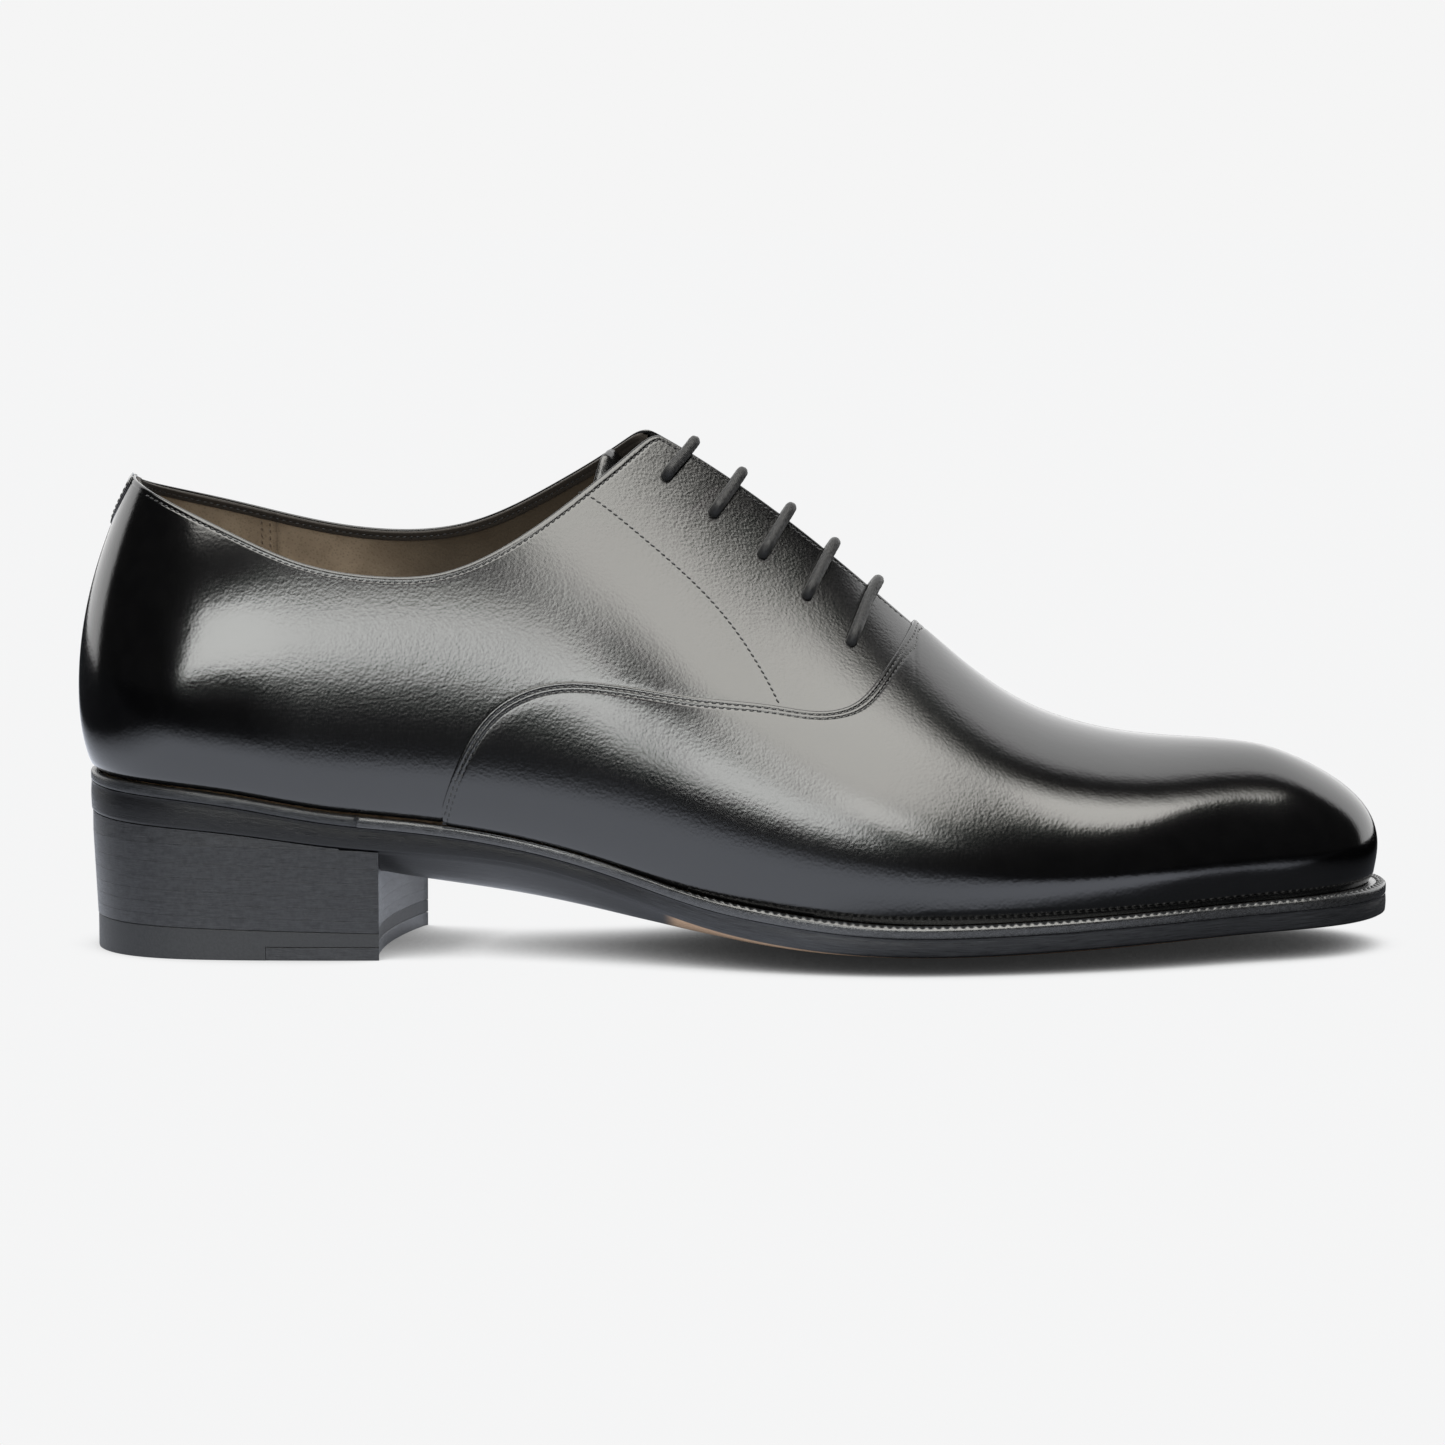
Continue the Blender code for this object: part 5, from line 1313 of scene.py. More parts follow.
# The single line of stitches below the lace holes: x against height on the lateral side.
FACING_LINE = Curve([
    (-36.0, 107.4), (-34.1, 106.6), (-30.8, 104.6), (-22.5, 98.2), (-14.2, 91.3), (-5.1, 82.8), (0.9, 75.8),
    (6.1, 68.2), (10.2, 60.9), (12.0, 57.0),
])


def facing_line(lap):
    return arc_of_height(lap, float(FACING_LINE(x_of(lap))))


# ---- linings ----
def lining_face(lap, arcs):
    """The lining's visible side is its inner one; this is the hidden side against the leather."""
    return np.array([lining_depth(lap, float(arc)) for arc in arcs]) + 0.2


def lining_inside(lap, arcs):
    far = top_far(lap, arcs)
    depth = np.array([lining_depth(lap, float(arc)) for arc in arcs]) - LINING
    depth = depth + 0.3 * rounded(far, 0.4)
    proud = 0.18 * smooth_array((LINING_STRIP + 0.1 - far) / 0.2)
    return depth - proud + groove(far, LINING_ROW, 0.1, 0.22)


def line_with(name, node, laps, low, keep_off_middle=0.0):
    """One piece of lining; its u coordinate is the distance below the topline."""
    def arcs_at(lap):
        start = low(lap)
        end = max(top_arc(lap) - 0.25, start + 4.0)
        return rows_to_edge(start, end, min(stretch_of(top_arc, lap), 2.0), 26)

    outer, inner = sheet_between(laps, arcs_at, lining_face, lining_inside, keep_off_middle)
    far = np.array([top_far(lap, arcs_at(lap)) for lap in laps])
    points, faces = closed_sheet(outer, inner)
    uv = np.column_stack([np.tile(far.ravel(), 2), np.zeros(2 * far.size)])
    return add_mesh(name, points, faces, lining, replaces=[node], uv=uv,
                    weld=WELD)


def build_linings():
    laps = side_steps((LINING_BACK + 0.02, 1.8), (-36.0, 1.2), (-6.0, 1.8), (43.0, 0))
    for side in ("lateral", "medial"):
        made = line_with("quarter_lining_inside_" + side, "quarter_lining_" + side,
                         laps if side == "lateral" else medial(laps), lambda lap: joint_arc(lap, 0.0), 0.35)
        drill(made, side, *LINING_HOLE)
    line_with("heel_lining_inside", "heel_lining", both_ways(round_back(1.8, LINING_BACK - 0.02, 1.6)),
              lambda lap: 0.0)

    def vamp_lining_arcs(lap):
        if x_of(lap) > LINING_CLOSED_X:
            return np.linspace(0.0, ridge_arc(lap), 30)
        return np.linspace(0.0, min(joint_arc(lap, -0.6), ridge_arc(lap) - 0.8), 30)

    laps = mirrored([lap_at(x) for x in np.arange(16.5, 91.0, 2.5)] + to_half(lap_at(91.0), 2.5))
    outer, inner = sheet_between(laps, vamp_lining_arcs, lambda lap, arcs: LINING_MAIN - TUCK,
                                 lambda lap, arcs: LINING_MAIN - TUCK - LINING)
    points, faces = closed_sheet(outer, inner, [x_of(lap) > LINING_CLOSED_X for lap in laps])
    add_mesh("vamp_lining_inside", points, faces, lining,
             replaces=["vamp_lining"], uv=np.full((len(points), 2), BELOW_STRIP), weld=WELD)

    rows = []
    for side in ("lateral", "medial"):
        laps = [on_its_side(side, lap) for lap in [0.2] + round_back(1.0, -34.0, first=1.0)]
        points, normals = on_surface([(lap, below(top_arc, LINING_ROW)(lap)) for lap in laps], lining_inside)
        rows.append(evenly(points, -normals, 1.6))
    sew("lining_top_stitches", rows, thread)
    rows = []
    for side in ("lateral", "medial"):
        for x in (-109.6, -111.6):
            lap = on_its_side(side, lap_at(x))
            path = [(lap, arc) for arc in np.linspace(6.0, top_arc(lap) - 2.6, 60)]
            points, normals = on_surface(path, lining_inside)
            rows.append(evenly(points, -normals, 1.7))
    sew("lining_joint_stitches", rows, brown_thread)


# ---- tongue ----
MIDDLES = {}


def tongue_middle(lap, depth):
    """The arc at which a surface inside the facings reaches the middle plane."""
    key = (round(lap % LAP, 4), round(depth, 4))
    if key not in MIDDLES:
        way = outward(lap)
        arcs = ridge_arc(lap) - CORNER - 0.25 * np.arange(120)
        clear = way * (off_row(lap, arcs, np.full(len(arcs), depth))[:, 1] - SPINE_Y)
        first = int(np.argmax(clear >= 0.0))
        if first:
            share = clear[first] / (clear[first] - clear[first - 1])
            MIDDLES[key] = arcs[first] + share * 0.25
        else:
            MIDDLES[key] = arcs[0]
    return MIDDLES[key]


def tongue_point(x, across, depth):
    """A point of the tongue, which follows the facings from inside and is rounded along its middle."""
    spread = abs(across)
    lap = lap_at(x - TONGUE_SLANT * spread * smooth((TONGUE_HINGE_X - x) / 40.0))
    depth -= TONGUE_ROUND * (1.0 - smooth(spread / TONGUE_ROUND_WIDTH))
    depth += TONGUE_RISE * smooth((-17.0 - x) / 9.0) * (1.0 - smooth((spread - 6.0) / 10.0))
    sides = [lap, LAP - lap] if across == 0.0 else [lap] if across < 0.0 else [LAP - lap]
    found = [off_row(at, np.array([tongue_middle(at, depth) - spread]), np.array([depth]))[0] for at in sides]
    point = np.mean(found, axis=0)
    if across == 0.0:
        point[1] = SPINE_Y
    return point


def tongue_sheet(x_from, x_to, trim, top, thickness):
    columns, rows = 44, 34
    upper, lower = [], []
    across = np.sin(np.linspace(-0.5 * math.pi, 0.5 * math.pi, rows))
    across[np.argmin(abs(across))] = 0.0
    last_tenth = 1.0 - 0.1 * (1.0 - np.linspace(0.1, 1.0, 10)) ** 2
    shares = np.concatenate([np.linspace(0.0, 0.9, columns - 10), last_tenth])
    for share in shares:
        x = x_from + (x_to - x_from) * share
        from_end = abs(x_to - x)
        corner = 4.0
        width = trim * float(TONGUE_HALF_WIDTH(x)) * (1.0 - 0.2 * smooth(1.0 - from_end / 12.0))
        width -= corner - math.sqrt(max(corner**2 - max(corner - from_end, 0.0) ** 2, 0.0))
        up, low = [], []
        for row in across:
            edge = min(width * (1.0 - abs(row)), from_end)
            sink = float(rounded(edge, 0.5 * thickness))
            up.append(tongue_point(x, row * width, top - sink))
            low.append(tongue_point(x, row * width, top - thickness + sink))
        upper.append(up)
        lower.append(low)
    return np.array(upper), np.array(lower)


def build_tongue():
    for name, node, paint, slot, back, short, trim, top, thick in (
            ("tongue_leather", "tongue", calf, "polished_black_calf", 0.0, 0.0, 1.0, TONGUE_DEPTH,
             TONGUE_LEATHER),
            ("tongue_inside", "tongue_lining", tongue_suede, "taupe_lining_leather", 1.0, 0.8, 0.96,
             TONGUE_DEPTH - TONGUE_LEATHER - 0.1, TONGUE_LINING + 0.3)):
        upper, lower = tongue_sheet(TONGUE_HINGE_X - back, TONGUE_END + short, trim, top, thick)
        points, faces = closed_sheet(upper, lower)
        add_mesh(name, points, faces, paint, body="tongue", weld=WELD, replaces=[node])


# ---- cords ----
LACE_SIDES = 30


def tube_frames(points):
    """Tangents and two cross directions along a line, turned as little as possible."""
    tangents = np.gradient(points, axis=0)
    tangents /= np.linalg.norm(tangents, axis=1)[:, None]
    side = np.cross(tangents[0], (0.0, 0.0, 1.0))
    side /= np.linalg.norm(side)
    sides = []
    for tangent in tangents:
        side = side - tangent * side.dot(tangent)
        side /= np.linalg.norm(side)
        sides.append(side)
    sides = np.array(sides)
    return tangents, sides, np.cross(tangents, sides)


def braided(name, points, radius, paint, spacing):
    """A round braid: two sets of strands that cross, standing a little proud of the core."""
    steps = distances(points)
    at = np.linspace(0.0, steps[-1], max(int(steps[-1] / spacing), 8) + 1)
    line = read_at(at, steps, points)
    _, side, other = tube_frames(line)
    turns = np.arange(LACE_SIDES) * 2.0 * math.pi / LACE_SIDES
    rings = []
    for s, centre, a, b in zip(at, line, side, other):
        pitch = 2.0 * math.pi * s / 5.2
        left = np.abs(np.sin(3.0 * turns + pitch))
        right = np.abs(np.sin(3.0 * turns - pitch))
        over = 0.5 + 0.5 * np.sin(6.0 * turns) * math.cos(2.0 * pitch)
        strand = np.maximum(left**0.7 * (0.55 + 0.45 * over), right**0.7 * (1.0 - 0.45 * over))
        size = radius * (0.9 + 0.1 * strand)
        end = min(s, steps[-1] - s)
        size = size * (1.0 - 0.25 * max(0.0, 1.0 - end / 0.4))
        rings.append(centre + size[:, None] * (np.cos(turns)[:, None] * a + np.sin(turns)[:, None] * b))
    rings = np.array(rings)
    uv = np.stack(np.broadcast_arrays(turns[None, :] / (2.0 * math.pi), at[:, None]), axis=-1)
    made = add_mesh(name, rings.reshape(-1, 3), tube_faces(len(rings), LACE_SIDES), paint,
                    uv=uv.reshape(-1, 2))
    return made, line


def build_cords():
    fine = smooth_route(lace_route(), 0.3)
    made, _ = braided("lace_braid", fine, LACE_RADIUS, cord_braid, 0.3)
    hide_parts("lace")
    for side in ("lateral", "medial"):
        route = smooth_route(tail_route(side), 2.8 * 2.0 * LACE_RADIUS)
        steps = smooth_route(route, 0.5)
        made, line = braided("lace_tail_braid_" + side, steps, LACE_RADIUS, cord_braid, 0.4)
        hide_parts("lace_tail_" + side)
        heading = Vector(route[-1] - route[-2]).normalized()
        turn = heading.to_track_quat("Z", "Y").to_matrix().to_4x4()
        start = Vector(route[-1]) + heading * GAP
        tip = revolve("aglet_tip_" + side, AGLET_SHAPE, 24, Matrix.Translation(start) @ turn, aglet_metal,
                      ["aglet_" + side])


# An aglet with two crimped grooves: radius against distance from the lace.
AGLET_SHAPE = ((0.0, 0.0), (1.2, 0.0), (1.4, 0.15), (1.42, 1.0), (1.32, 1.3), (1.42, 1.6), (1.42, 3.0),
               (1.32, 3.3), (1.42, 3.6), (1.4, 14.5), (1.3, 17.2), (0.95, 17.85), (0.4, 18.0), (0.0, 18.0))


def revolve(name, shape, sides, matrix, paint, replaces=()):
    turns = np.arange(sides) * 2.0 * math.pi / sides
    points = np.array([[(r * math.cos(t), r * math.sin(t), z) for t in turns] for r, z in shape])
    quads = tube_faces(len(shape), sides, inward=True, caps=False)
    points = np.array([matrix @ Vector(p) for p in points.reshape(-1, 3)])
    return add_mesh(name, points, quads, paint, replaces=replaces, weld=WELD, sharp=40)


# ---- bottom ----
WHEEL_PITCH, WELT_STITCH_BACK = 1.84, -40.0


def rim_loft(name, laps, shape_at, paint, replaces):
    """A strip swept round the last: a closed section of (r, z) at each lap."""
    sections, uv = [], []
    for lap in laps:
        shape = np.array(shape_at(lap))
        sections.append([plan(lap, r, z) for r, z in shape])
        steps = distances(shape)
        uv.append(np.column_stack([np.full(len(shape), lap), steps]))
    sections = np.array(sections)
    return add_mesh(name, sections.reshape(-1, 3), tube_faces(*sections.shape[:2]), paint,
                    replaces=replaces, uv=np.array(uv).reshape(-1, 2), weld=0.001)


def foot_line(lap):
    """How far out the upper stands at the welt."""
    return measure(lap, FEATHER) + (VAMP_OUT if x_of(lap) > VAMP_START else 0.0)


def welt_shape(lap):
    outer, feather, top = measure(lap, EDGE), measure(lap, FEATHER), welt_top(lap) + 0.05
    inner = feather - WELT_INSET
    foot = foot_line(lap)
    room = outer - foot
    mark = abs((lap / WHEEL_PITCH) % 1.0 - 0.5) * 2.0
    tooth = smooth(1.25 * (1.0 - mark))
    show = smooth((room - 1.2) / 1.2)
    high, dip = 0.48 * tooth * show, 0.2 * show
    bottom = top - WELT + 0.05
    return [
        (inner, top), (foot - 0.4, top), (foot + 0.15, top - 0.03),
        (foot + 0.22 * room, top - 0.05), (foot + 0.34 * room, top - dip), (foot + 0.46 * room, top - dip),
        (foot + 0.52 * room, top - 0.1), (foot + 0.59 * room, top - 0.08 + 0.7 * high),
        (foot + 0.67 * room, top - 0.08 + high), (foot + 0.77 * room, top - 0.1 + 0.7 * high),
        (foot + 0.87 * room, top - 0.12 + 0.25 * high), (outer - 0.32, top - 0.18), (outer - 0.12, top - 0.3),
        (outer - 0.02, top - 0.52), (outer, top - 0.9), (outer, top - 1.5), (outer - 0.02, bottom + 0.25),
        (outer - 0.06, bottom + 0.08), (outer - 0.16, bottom), (inner, bottom)]


def rand_shape(lap):
    outer, feather, top = measure(lap, EDGE), measure(lap, FEATHER), welt_top(lap) + 0.05
    inner, bottom = feather - WELT_INSET, top - WELT + 0.05
    return [(inner, top), (feather - 0.3, top), (feather + 0.05, top - 0.02), (outer - 0.35, top - 0.08),
            (outer - 0.14, top - 0.22), (outer - 0.02, top - 0.5), (outer, top - 1.0), (outer, top - 1.6),
            (outer - 0.03, bottom + 0.3), (outer - 0.12, bottom + 0.1), (outer - 0.28, bottom),
            (inner, bottom)]


def build_welt():
    fine = WHEEL_PITCH / 8.0
    half = (side_steps((RAND_FRONT + 0.1, 1.0), (WELT_STITCH_BACK, fine), (91.0, 0))
            + to_half(lap_at(91.0), fine))
    rim_loft("welt_strip", mirrored(half), welt_shape, welt_wax, ["welt"])
    rim_loft("rand_strip", both_ways(round_back(0.8, RAND_FRONT + 0.08)), rand_shape, edge_wax,
             ["heel_rand"])
    place, along = [], []
    for n in range(int(LAP / WHEEL_PITCH)):
        lap = (n + 0.5) * WHEEL_PITCH
        if x_of(lap) < WELT_STITCH_BACK:
            continue
        room = measure(lap, EDGE) - foot_line(lap)
        if room < 1.6:
            continue
        r = foot_line(lap) + 0.4 * room
        z = welt_top(lap) - 0.08
        ahead, behind = plan(lap + 0.5, r, z), plan(lap - 0.5, r, z)
        ahead[2], behind[2] = welt_top(lap + 0.5), welt_top(lap - 0.5)
        place.append(plan(lap, r, z))
        along.append(ahead - behind)
    rows = [(np.array(place), np.array(along), np.array([(0.0, 0.0, 1.0)] * len(place)))]
    sew("welt_stitches", rows, welt_thread, length=1.5, width=0.62, height=0.46)


def sole_rim(lap):
    """The outsole's edge from the welt down, then its underside to the middle, as (r, z)."""
    edge, low = measure(lap, EDGE), measure(lap, SOLE_LOW)
    top = welt_top(lap) - WELT + 0.02
    tall = top - low
    shape = [(edge - 3.0, top), (edge - 0.2, top), (edge - 0.07, top - 0.08)]
    for share in (0.06, 0.18, 0.32, 0.48, 0.62, 0.76, 0.88):
        bulge = 0.14 * math.sin(math.pi * min(share * 1.1, 1.0)) * min(tall / 4.0, 1.0)
        shape.append((edge - 0.14 + bulge, top - tall * share))
    shape += [(edge - 0.16, low + 0.3), (edge - 0.3, low + 0.12), (edge - 0.55, low + 0.05)]
    for share in (0.975, 0.95, 0.91, 0.86, 0.78, 0.68, 0.56, 0.42, 0.28, 0.14, 0.0):
        r = edge * share
        shape.append((r, underside(lap, r) + 0.02))
    return shape


def build_outsole():
    laps = list(LAP * np.arange(460) / 460)
    rim = [sole_rim(lap) for lap in laps]
    outer = np.array([[plan(lap, r, z) for r, z in shape] for lap, shape in zip(laps, rim)])
    top = []
    for lap, shape in zip(laps, rim):
        row = [(edge_r, outsole_top(lap, edge_r)) for edge_r in
               np.linspace(shape[0][0], 0.0, len(shape))]
        row[0] = shape[0]
        top.append([plan(lap, r, z) for r, z in row])
    top = np.array(top)
    columns, rows = outer.shape[:2]
    count = columns * rows
    quads = grid_quads(columns, rows, True)
    quads = np.concatenate([quads[:, ::-1], quads + count])
    points = np.concatenate([outer.reshape(-1, 3), top.reshape(-1, 3)])
    uv = []
    for lap, shape in zip(laps, rim):
        shape = np.array(shape)
        steps = distances(shape)
        uv.append(np.column_stack([np.full(len(shape), lap), steps]))
    uv = np.concatenate([np.array(uv).reshape(-1, 2), np.zeros((count, 2))])
    add_mesh("outsole_leather", points, quads, sole_wax, replaces=["outsole"],
             weld=0.001, uv=uv, sharp=60)


def fine_plate(name, paint, laps, rim, shares, top, bottom, replaces, ring=True, edge=0.4):
    upper, lower = [], []
    for lap in laps:
        radii = [rim(lap) * share for share in shares]
        sinks = [float(rounded(rim(lap) - r, edge)) for r in radii]
        upper.append([plan(lap, r, top(lap, r) - sink) for r, sink in zip(radii, sinks)])
        lower.append([plan(lap, r, bottom(lap, r) + sink) for r, sink in zip(radii, sinks)])
    points, faces = closed_sheet(np.array(upper), np.array(lower), [True] * len(laps), ring=ring)
    return add_mesh(name, points, faces, paint, replaces=replaces, weld=WELD)


def build_inside_bottom():
    shares = [1.0, 0.995, 0.985, 0.97, 0.94, 0.88, 0.8, 0.7, 0.6, 0.5, 0.4, 0.3, 0.2, 0.1, 0.0]
    fine_plate("insole_board", insole_leather, list(LAP * np.arange(220) / 220),
               lambda lap: measure(lap, FEATHER) - INSOLE_MARGIN, shares, insole_top,
               lambda lap, r: insole_top(lap, r) - INSOLE, ["insole"])
    fine_plate("sock_leather", sock_leather, both_ways(round_back(2.0, -58.0)),
               lambda lap: measure(lap, FEATHER) - INSOLE_MARGIN - 2.4, shares,
               lambda lap, r: insole_top(lap, r) + GAP + 0.9, lambda lap, r: insole_top(lap, r) + 0.05,
               ["heel_sock"], ring=False, edge=0.3)


# ---- heel ----
STACK_SHARP = 18.0
NAIL_SHAPE = ((0.0, 0.12), (0.35, 0.06), (0.7, 0.0), (0.95, 0.05), (1.0, 0.2), (1.0, 0.6), (0.8, 0.9),
              (0.8, 10.0), (0.5, 10.6), (0.0, 10.6))


def fine_outline(inset, front=None, round_laps=150, across=40):
    lateral_end, medial_end = (front, front) if front else (BREAST_LATERAL, BREAST_MEDIAL)
    count = round_laps // 2
    laps = ([LAP - lap for lap in np.linspace(lap_at(medial_end), 1.5, count)] + [0.0]
            + list(np.linspace(1.5, lap_at(lateral_end), count)))
    points = [tuple(plan(lap, measure(lap, EDGE) - 0.4 - inset, 0.0)[:2]) for lap in laps]
    y0, y1 = points[-1][1], points[0][1]
    if front is None:
        for i in range(1, across):
            share = i / across
            points.append((breast_x(share) - inset * 0.2, y0 + (y1 - y0) * share))
    return points


def stacked(name, inset_low, inset_high, low, high, paint, replaces, front=None, bevel=0.03):
    """One layer of the heel, with its edges slightly broken."""
    levels = ((bevel, 0.0, 0.0), (0.35 * bevel, 0.0, 0.35 * bevel), (0.0, 0.0, bevel), (0.0, 0.5, 0.0),
              (0.0, 1.0, -bevel), (0.35 * bevel, 1.0, -0.35 * bevel), (bevel, 1.0, 0.0))
    sections, uv = [], []
    for extra, share, shift in levels:
        inset = inset_low + (inset_high - inset_low) * share + extra
        outline = fine_outline(inset, front)
        sections.append([(x, y, low(x) + (high(x) - low(x)) * share + shift) for x, y in outline])
        steps = distances(outline)
        uv.append(np.column_stack([steps, [low(x) + (high(x) - low(x)) * share + shift for x, _ in outline]]))
    sections = np.array(sections)
    return add_mesh(name, sections.reshape(-1, 3), tube_faces(*sections.shape[:2], inward=True), paint,
                    replaces=replaces, uv=np.array(uv).reshape(-1, 2), sharp=STACK_SHARP)


def tool_from(points, faces):
    mesh = bpy.data.meshes.new("tool")
    mesh.from_pydata((np.asarray(points, float) * MM).tolist(), [], [list(map(int, face)) for face in faces])
    built = bmesh.new()
    built.from_mesh(mesh)
    bmesh.ops.remove_doubles(built, verts=built.verts, dist=1e-6)
    bmesh.ops.recalc_face_normals(built, faces=built.faces)
    return linked("tool", built)


def sole_tool():
    laps = both_ways(round_back(3.0, -55.0, 2.5))
    upper, lower = [], []
    for lap in laps:
        edge = measure(lap, EDGE)
        radii = [edge * share for share in (1.1, 1.0, 0.95, 0.9, 0.85, 0.75, 0.65, 0.5, 0.35, 0.18, 0.0)]
        lower.append([plan(lap, r, underside(lap, r) - 0.1) for r in radii])
        upper.append([plan(lap, r, 60.0) for r in radii])
    return tool_from(*closed_sheet(np.array(upper), np.array(lower), [True] * len(laps)))


def box_tool(x0, x1, y0, y1, z0, z1):
    corners = [(x, y, z) for x in (x0, x1) for y in (y0, y1) for z in (z0, z1)]
    faces = [(0, 1, 3, 2), (4, 6, 7, 5), (0, 4, 5, 1), (2, 3, 7, 6), (0, 2, 6, 4), (1, 5, 7, 3)]
    return tool_from(corners, faces)


def resmooth(made):
    made.data.shade_smooth()
    made.data.set_sharp_from_angle(angle=math.radians(STACK_SHARP))


def build_heel():
    wedge = stacked("wedge_leather", 0.0, 0.0, lambda x: joint_height(0.0, x), lambda x: 44.0, stack,
                    ["heel_wedge"], front=WEDGE_FRONT + 7.0)
    cut_with(wedge, sole_tool())
    resmooth(wedge)
    for i, (above, below_it) in enumerate(zip(LIFT_SHARES, LIFT_SHARES[1:])):
        top, bottom = joint_height(above, HEEL_BACK), joint_height(below_it, HEEL_BACK)
        lift = stacked("lift_leather_%d" % (i + 1), taper_at(bottom), taper_at(top),
                       lambda x: joint_height(below_it, x), lambda x: joint_height(above, x) - 0.02, stack,
                       ["heel_lift_%d" % (i + 1)])
        if i < 4:
            cut_with(lift, sole_tool())
            resmooth(lift)
    inset = taper_at(3.0)
    rubber_piece = stacked("top_piece_back", inset - 0.15, inset - 0.15, lambda x: 0.0,
                           lambda x: joint_height(1.0, x) - 0.06, rubber,
                           ["top_piece_rubber"], bevel=0.25)
    cut_with(rubber_piece, box_tool(RUBBER_FRONT - 0.1, -40.0, -60.0, 60.0, -5.0, LEATHER_QUARTER + 0.1))
    resmooth(rubber_piece)
    leather_piece = stacked("top_piece_front", inset, inset, lambda x: 0.0, lambda x: LEATHER_QUARTER, stack,
                            ["top_piece_leather"], bevel=0.2)
    cut_with(leather_piece, box_tool(-170.0, RUBBER_FRONT, -60.0, 60.0, -5.0, 20.0))
    resmooth(leather_piece)
    for i, (x, y) in enumerate(NAILS):
        revolve("nail_%d" % (i + 1), NAIL_SHAPE, 24, Matrix.Translation((x, y, 0.02)), nail_metal,
                ["heel_nail_%d" % (i + 1)])


# ---- camera, light and floor ----
CAMERA_PLACE, CAMERA_DIP, LENS, SENSOR = (-0.0022, -1.3, 0.19), 6.05, 139.7, 36.0
BACKGROUND = 0.913
# The lights in metres: centre, the point faced, width, height, radiance, tint, the shares of the
# width and of the height that fade out, and roll. The flag is dark and keeps the upper quarter
# from mirroring the panels.
LIGHTS = {
    "side_softbox": ((-0.67, -2.26, 0.96), (-1.97, -0.33, 2.1), 1.76, 1.46, 6.1, (0.985, 1.0, 0.975),
                     0.16, 0.06, 0.12),
    "overhead_panel": ((0.0, -0.9, 2.07), (-0.01, -1.14, -0.57), 2.29, 2.87, 4.8, (1.0, 0.985, 0.93),
                       0.06, 0.33, 0.0),
    "front_softbox": ((0.16, -1.55, 1.14), (0.25, -0.42, -1.05), 0.85, 0.71, 5.8, (1.0, 1.0, 0.96),
                      0.32, 0.13, -0.11),
    "dark_flag": ((-0.09, -0.3, 0.345), (-0.07, -0.05, 0.1), 0.24, 0.2, 0.05, (1.0, 1.0, 1.0),
                  0.7, 0.7, 0.0),
}
# What the leather sees of the wall behind: from and to this y of a direction, dark to pale.
WALL = (0.36, 0.48, 0.02, 1.43)
# The floor: half its side, how near the shoe a painted contact shadow darkens it, and how much.
FLOOR_HALF, SHADOW_REACH, SHADOW = 9.0, 0.024, (0.0, 0.72, 0.02, 1.0)
# Where the leather sees a painted pool of light on the floor, in metres: from, to, and the levels there.
LIT_FRONT = (-0.27, -0.12, 0.02, 1.09)
LIT_HEEL_END, LIT_TOE_END = (-0.36, -0.2, 0.02, 1.0), (0.17, 0.26, 1.0, 0.02)
# Beside the forepart a painted shadow darkens it.
DARK_FROM_X, DARK_FROM_Y, DARK_LEVELS = (0.0, 0.045), (-0.09, -0.066), (1.0, 0.08)


def in_scene(made):
    bpy.context.scene.collection.objects.link(made)
    return made


def build_camera():
    data = bpy.data.cameras.new("camera")
    data.lens, data.sensor_width = LENS, SENSOR
    data.clip_start, data.clip_end = 0.05, 60.0
    made = in_scene(bpy.data.objects.new("camera", data))
    made.location = CAMERA_PLACE
    made.rotation_euler = (math.radians(90.0 - CAMERA_DIP), 0.0, 0.0)
    bpy.context.scene.camera = made


def softbox(name, centre, target, width, height, radiance, tint, fade_across, fade_up, roll):
    """A glowing panel whose light fades towards its edges; elsewhere it is clear."""
    facing = (Vector(target) - Vector(centre)).normalized()
    right = facing.cross(Vector((0.0, 0.0, 1.0))).normalized()
    up = right.cross(facing)
    right, up = right * math.cos(roll) + up * math.sin(roll), up * math.cos(roll) - right * math.sin(roll)
    corners = [Vector(centre) + 0.5 * width * a * right + 0.5 * height * b * up
               for a, b in ((-1, -1), (1, -1), (1, 1), (-1, 1))]
    mesh = bpy.data.meshes.new(name)
    mesh.from_pydata(corners, [], [(3, 2, 1, 0)])
    layer = mesh.uv_layers.new(name="across")
    for loop, place in zip(layer.data, ((-1.0, 1.0), (1.0, 1.0), (1.0, -1.0), (-1.0, -1.0))):
        loop.uv = place
    paint = bpy.data.materials.new(name)
    n = Tree(paint)
    across = n.add("ShaderNodeUVMap", uv_map="across").outputs["UV"]
    shares = [n.span(n.math("ABSOLUTE", n.axis(across, axis)), 1.0 - fade, 1.0, 1.0, 0.0)
              for axis, fade in (("X", fade_across), ("Y", fade_up))]
    n.end(n.choose(n.math("MULTIPLY", *shares), n.read("ShaderNodeBsdfTransparent", "BSDF"),
                   n.glow(radiance, tint)))
    mesh.materials.append(paint)
    made = in_scene(bpy.data.objects.new(name, mesh))
    made.visible_camera = False
    made.visible_shadow = False


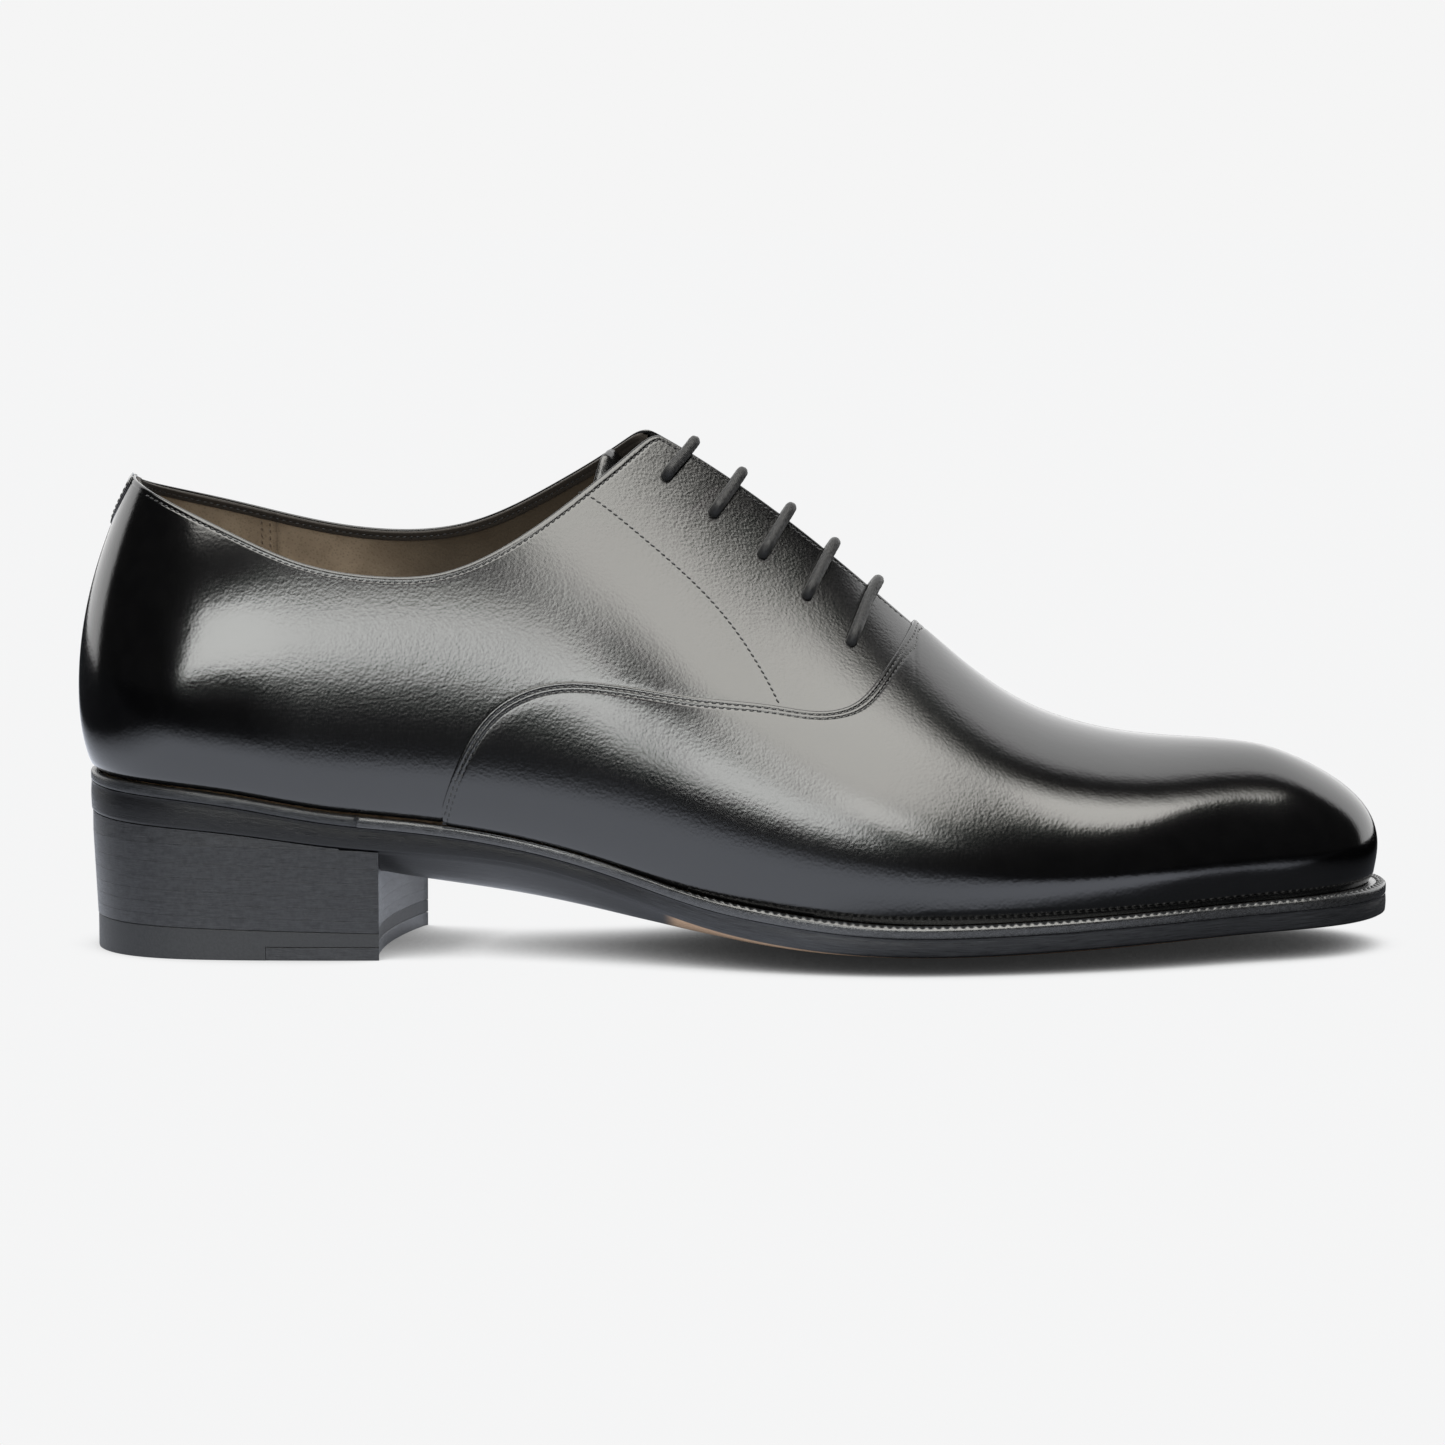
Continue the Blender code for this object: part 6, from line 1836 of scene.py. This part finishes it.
def build_studio():
    """A softbox behind the camera to the left, one in front, a panel overhead and a pale wall behind."""
    for name, light in LIGHTS.items():
        softbox(name, *light)
    world = bpy.data.worlds.new("studio")
    bpy.context.scene.world = world
    n = Tree(world)
    wall = n.span(n.axis(n.read("ShaderNodeTexCoord", "Generated"), "Y"), *WALL)
    n.end(n.choose(n.read("ShaderNodeLightPath", "Is Camera Ray"), n.glow(wall, kind="ShaderNodeBackground"),
                   n.glow(BACKGROUND, kind="ShaderNodeBackground")), "ShaderNodeOutputWorld")


def build_floor():
    """A pale seamless floor, even to the eye, whose glow has a painted shadow where the shoe nearly touches
    it.

    The shoe sees a painted pool of light only near itself, as on a table in a dark room.
    """
    mesh = bpy.data.meshes.new("floor")
    corners = [(x * FLOOR_HALF, y * FLOOR_HALF, 0.0) for x, y in ((-1, -1), (1, -1), (1, 1), (-1, 1))]
    mesh.from_pydata(corners, [], [(0, 1, 2, 3)])
    floor = in_scene(bpy.data.objects.new("floor", mesh))
    paint = bpy.data.materials.new("seamless_paper_painted_glow")
    n = Tree(paint)
    # painted contact shadow: ambient occlusion darkens the floor's glow near the shoe
    near = n.add("ShaderNodeAmbientOcclusion", samples=16)
    near.inputs["Distance"].default_value = SHADOW_REACH
    shade = n.span(near.outputs["AO"], *SHADOW)
    seen = n.glow(n.math("MULTIPLY", shade, BACKGROUND), (0.998, 1.0, 1.003))
    # painted light: in reflections the floor glows only near the shoe, with painted shade beside the forepart
    where = n.read("ShaderNodeTexCoord", "Object")
    x, y = n.axis(where, "X"), n.axis(where, "Y")
    ends = n.math("MULTIPLY", n.span(x, *LIT_HEEL_END), n.span(x, *LIT_TOE_END))
    beside = n.math("MULTIPLY", n.span(x, *DARK_FROM_X), n.span(y, *DARK_FROM_Y))
    ends = n.math("MULTIPLY", ends, n.span(beside, 0.0, 1.0, *DARK_LEVELS))
    painted_light = n.math("MULTIPLY", n.math("MULTIPLY", n.span(y, *LIT_FRONT), ends), shade)
    n.end(n.choose(n.read("ShaderNodeLightPath", "Is Camera Ray"), n.glow(painted_light, (0.92, 0.97, 1.08)), seen))
    mesh.materials.append(paint)


def paint_carried():
    """The frame's nodes that still show get their materials."""
    for name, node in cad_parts.items():
        for start, paint in CARRIED.items():
            if name.startswith(start):
                node.data.materials.clear()
                node.data.materials.append(paint)


def main():
    build_camera()
    build_cords()
    build_vamp()
    for side in ("lateral", "medial"):
        build_quarter(side)
    build_heel_tab()
    sew_uppers()
    build_linings()
    build_tongue()
    build_welt()
    build_outsole()
    build_inside_bottom()
    build_heel()
    paint_carried()
    build_studio()
    build_floor()
    bpy.context.scene.view_settings.view_transform = "Standard"


main()
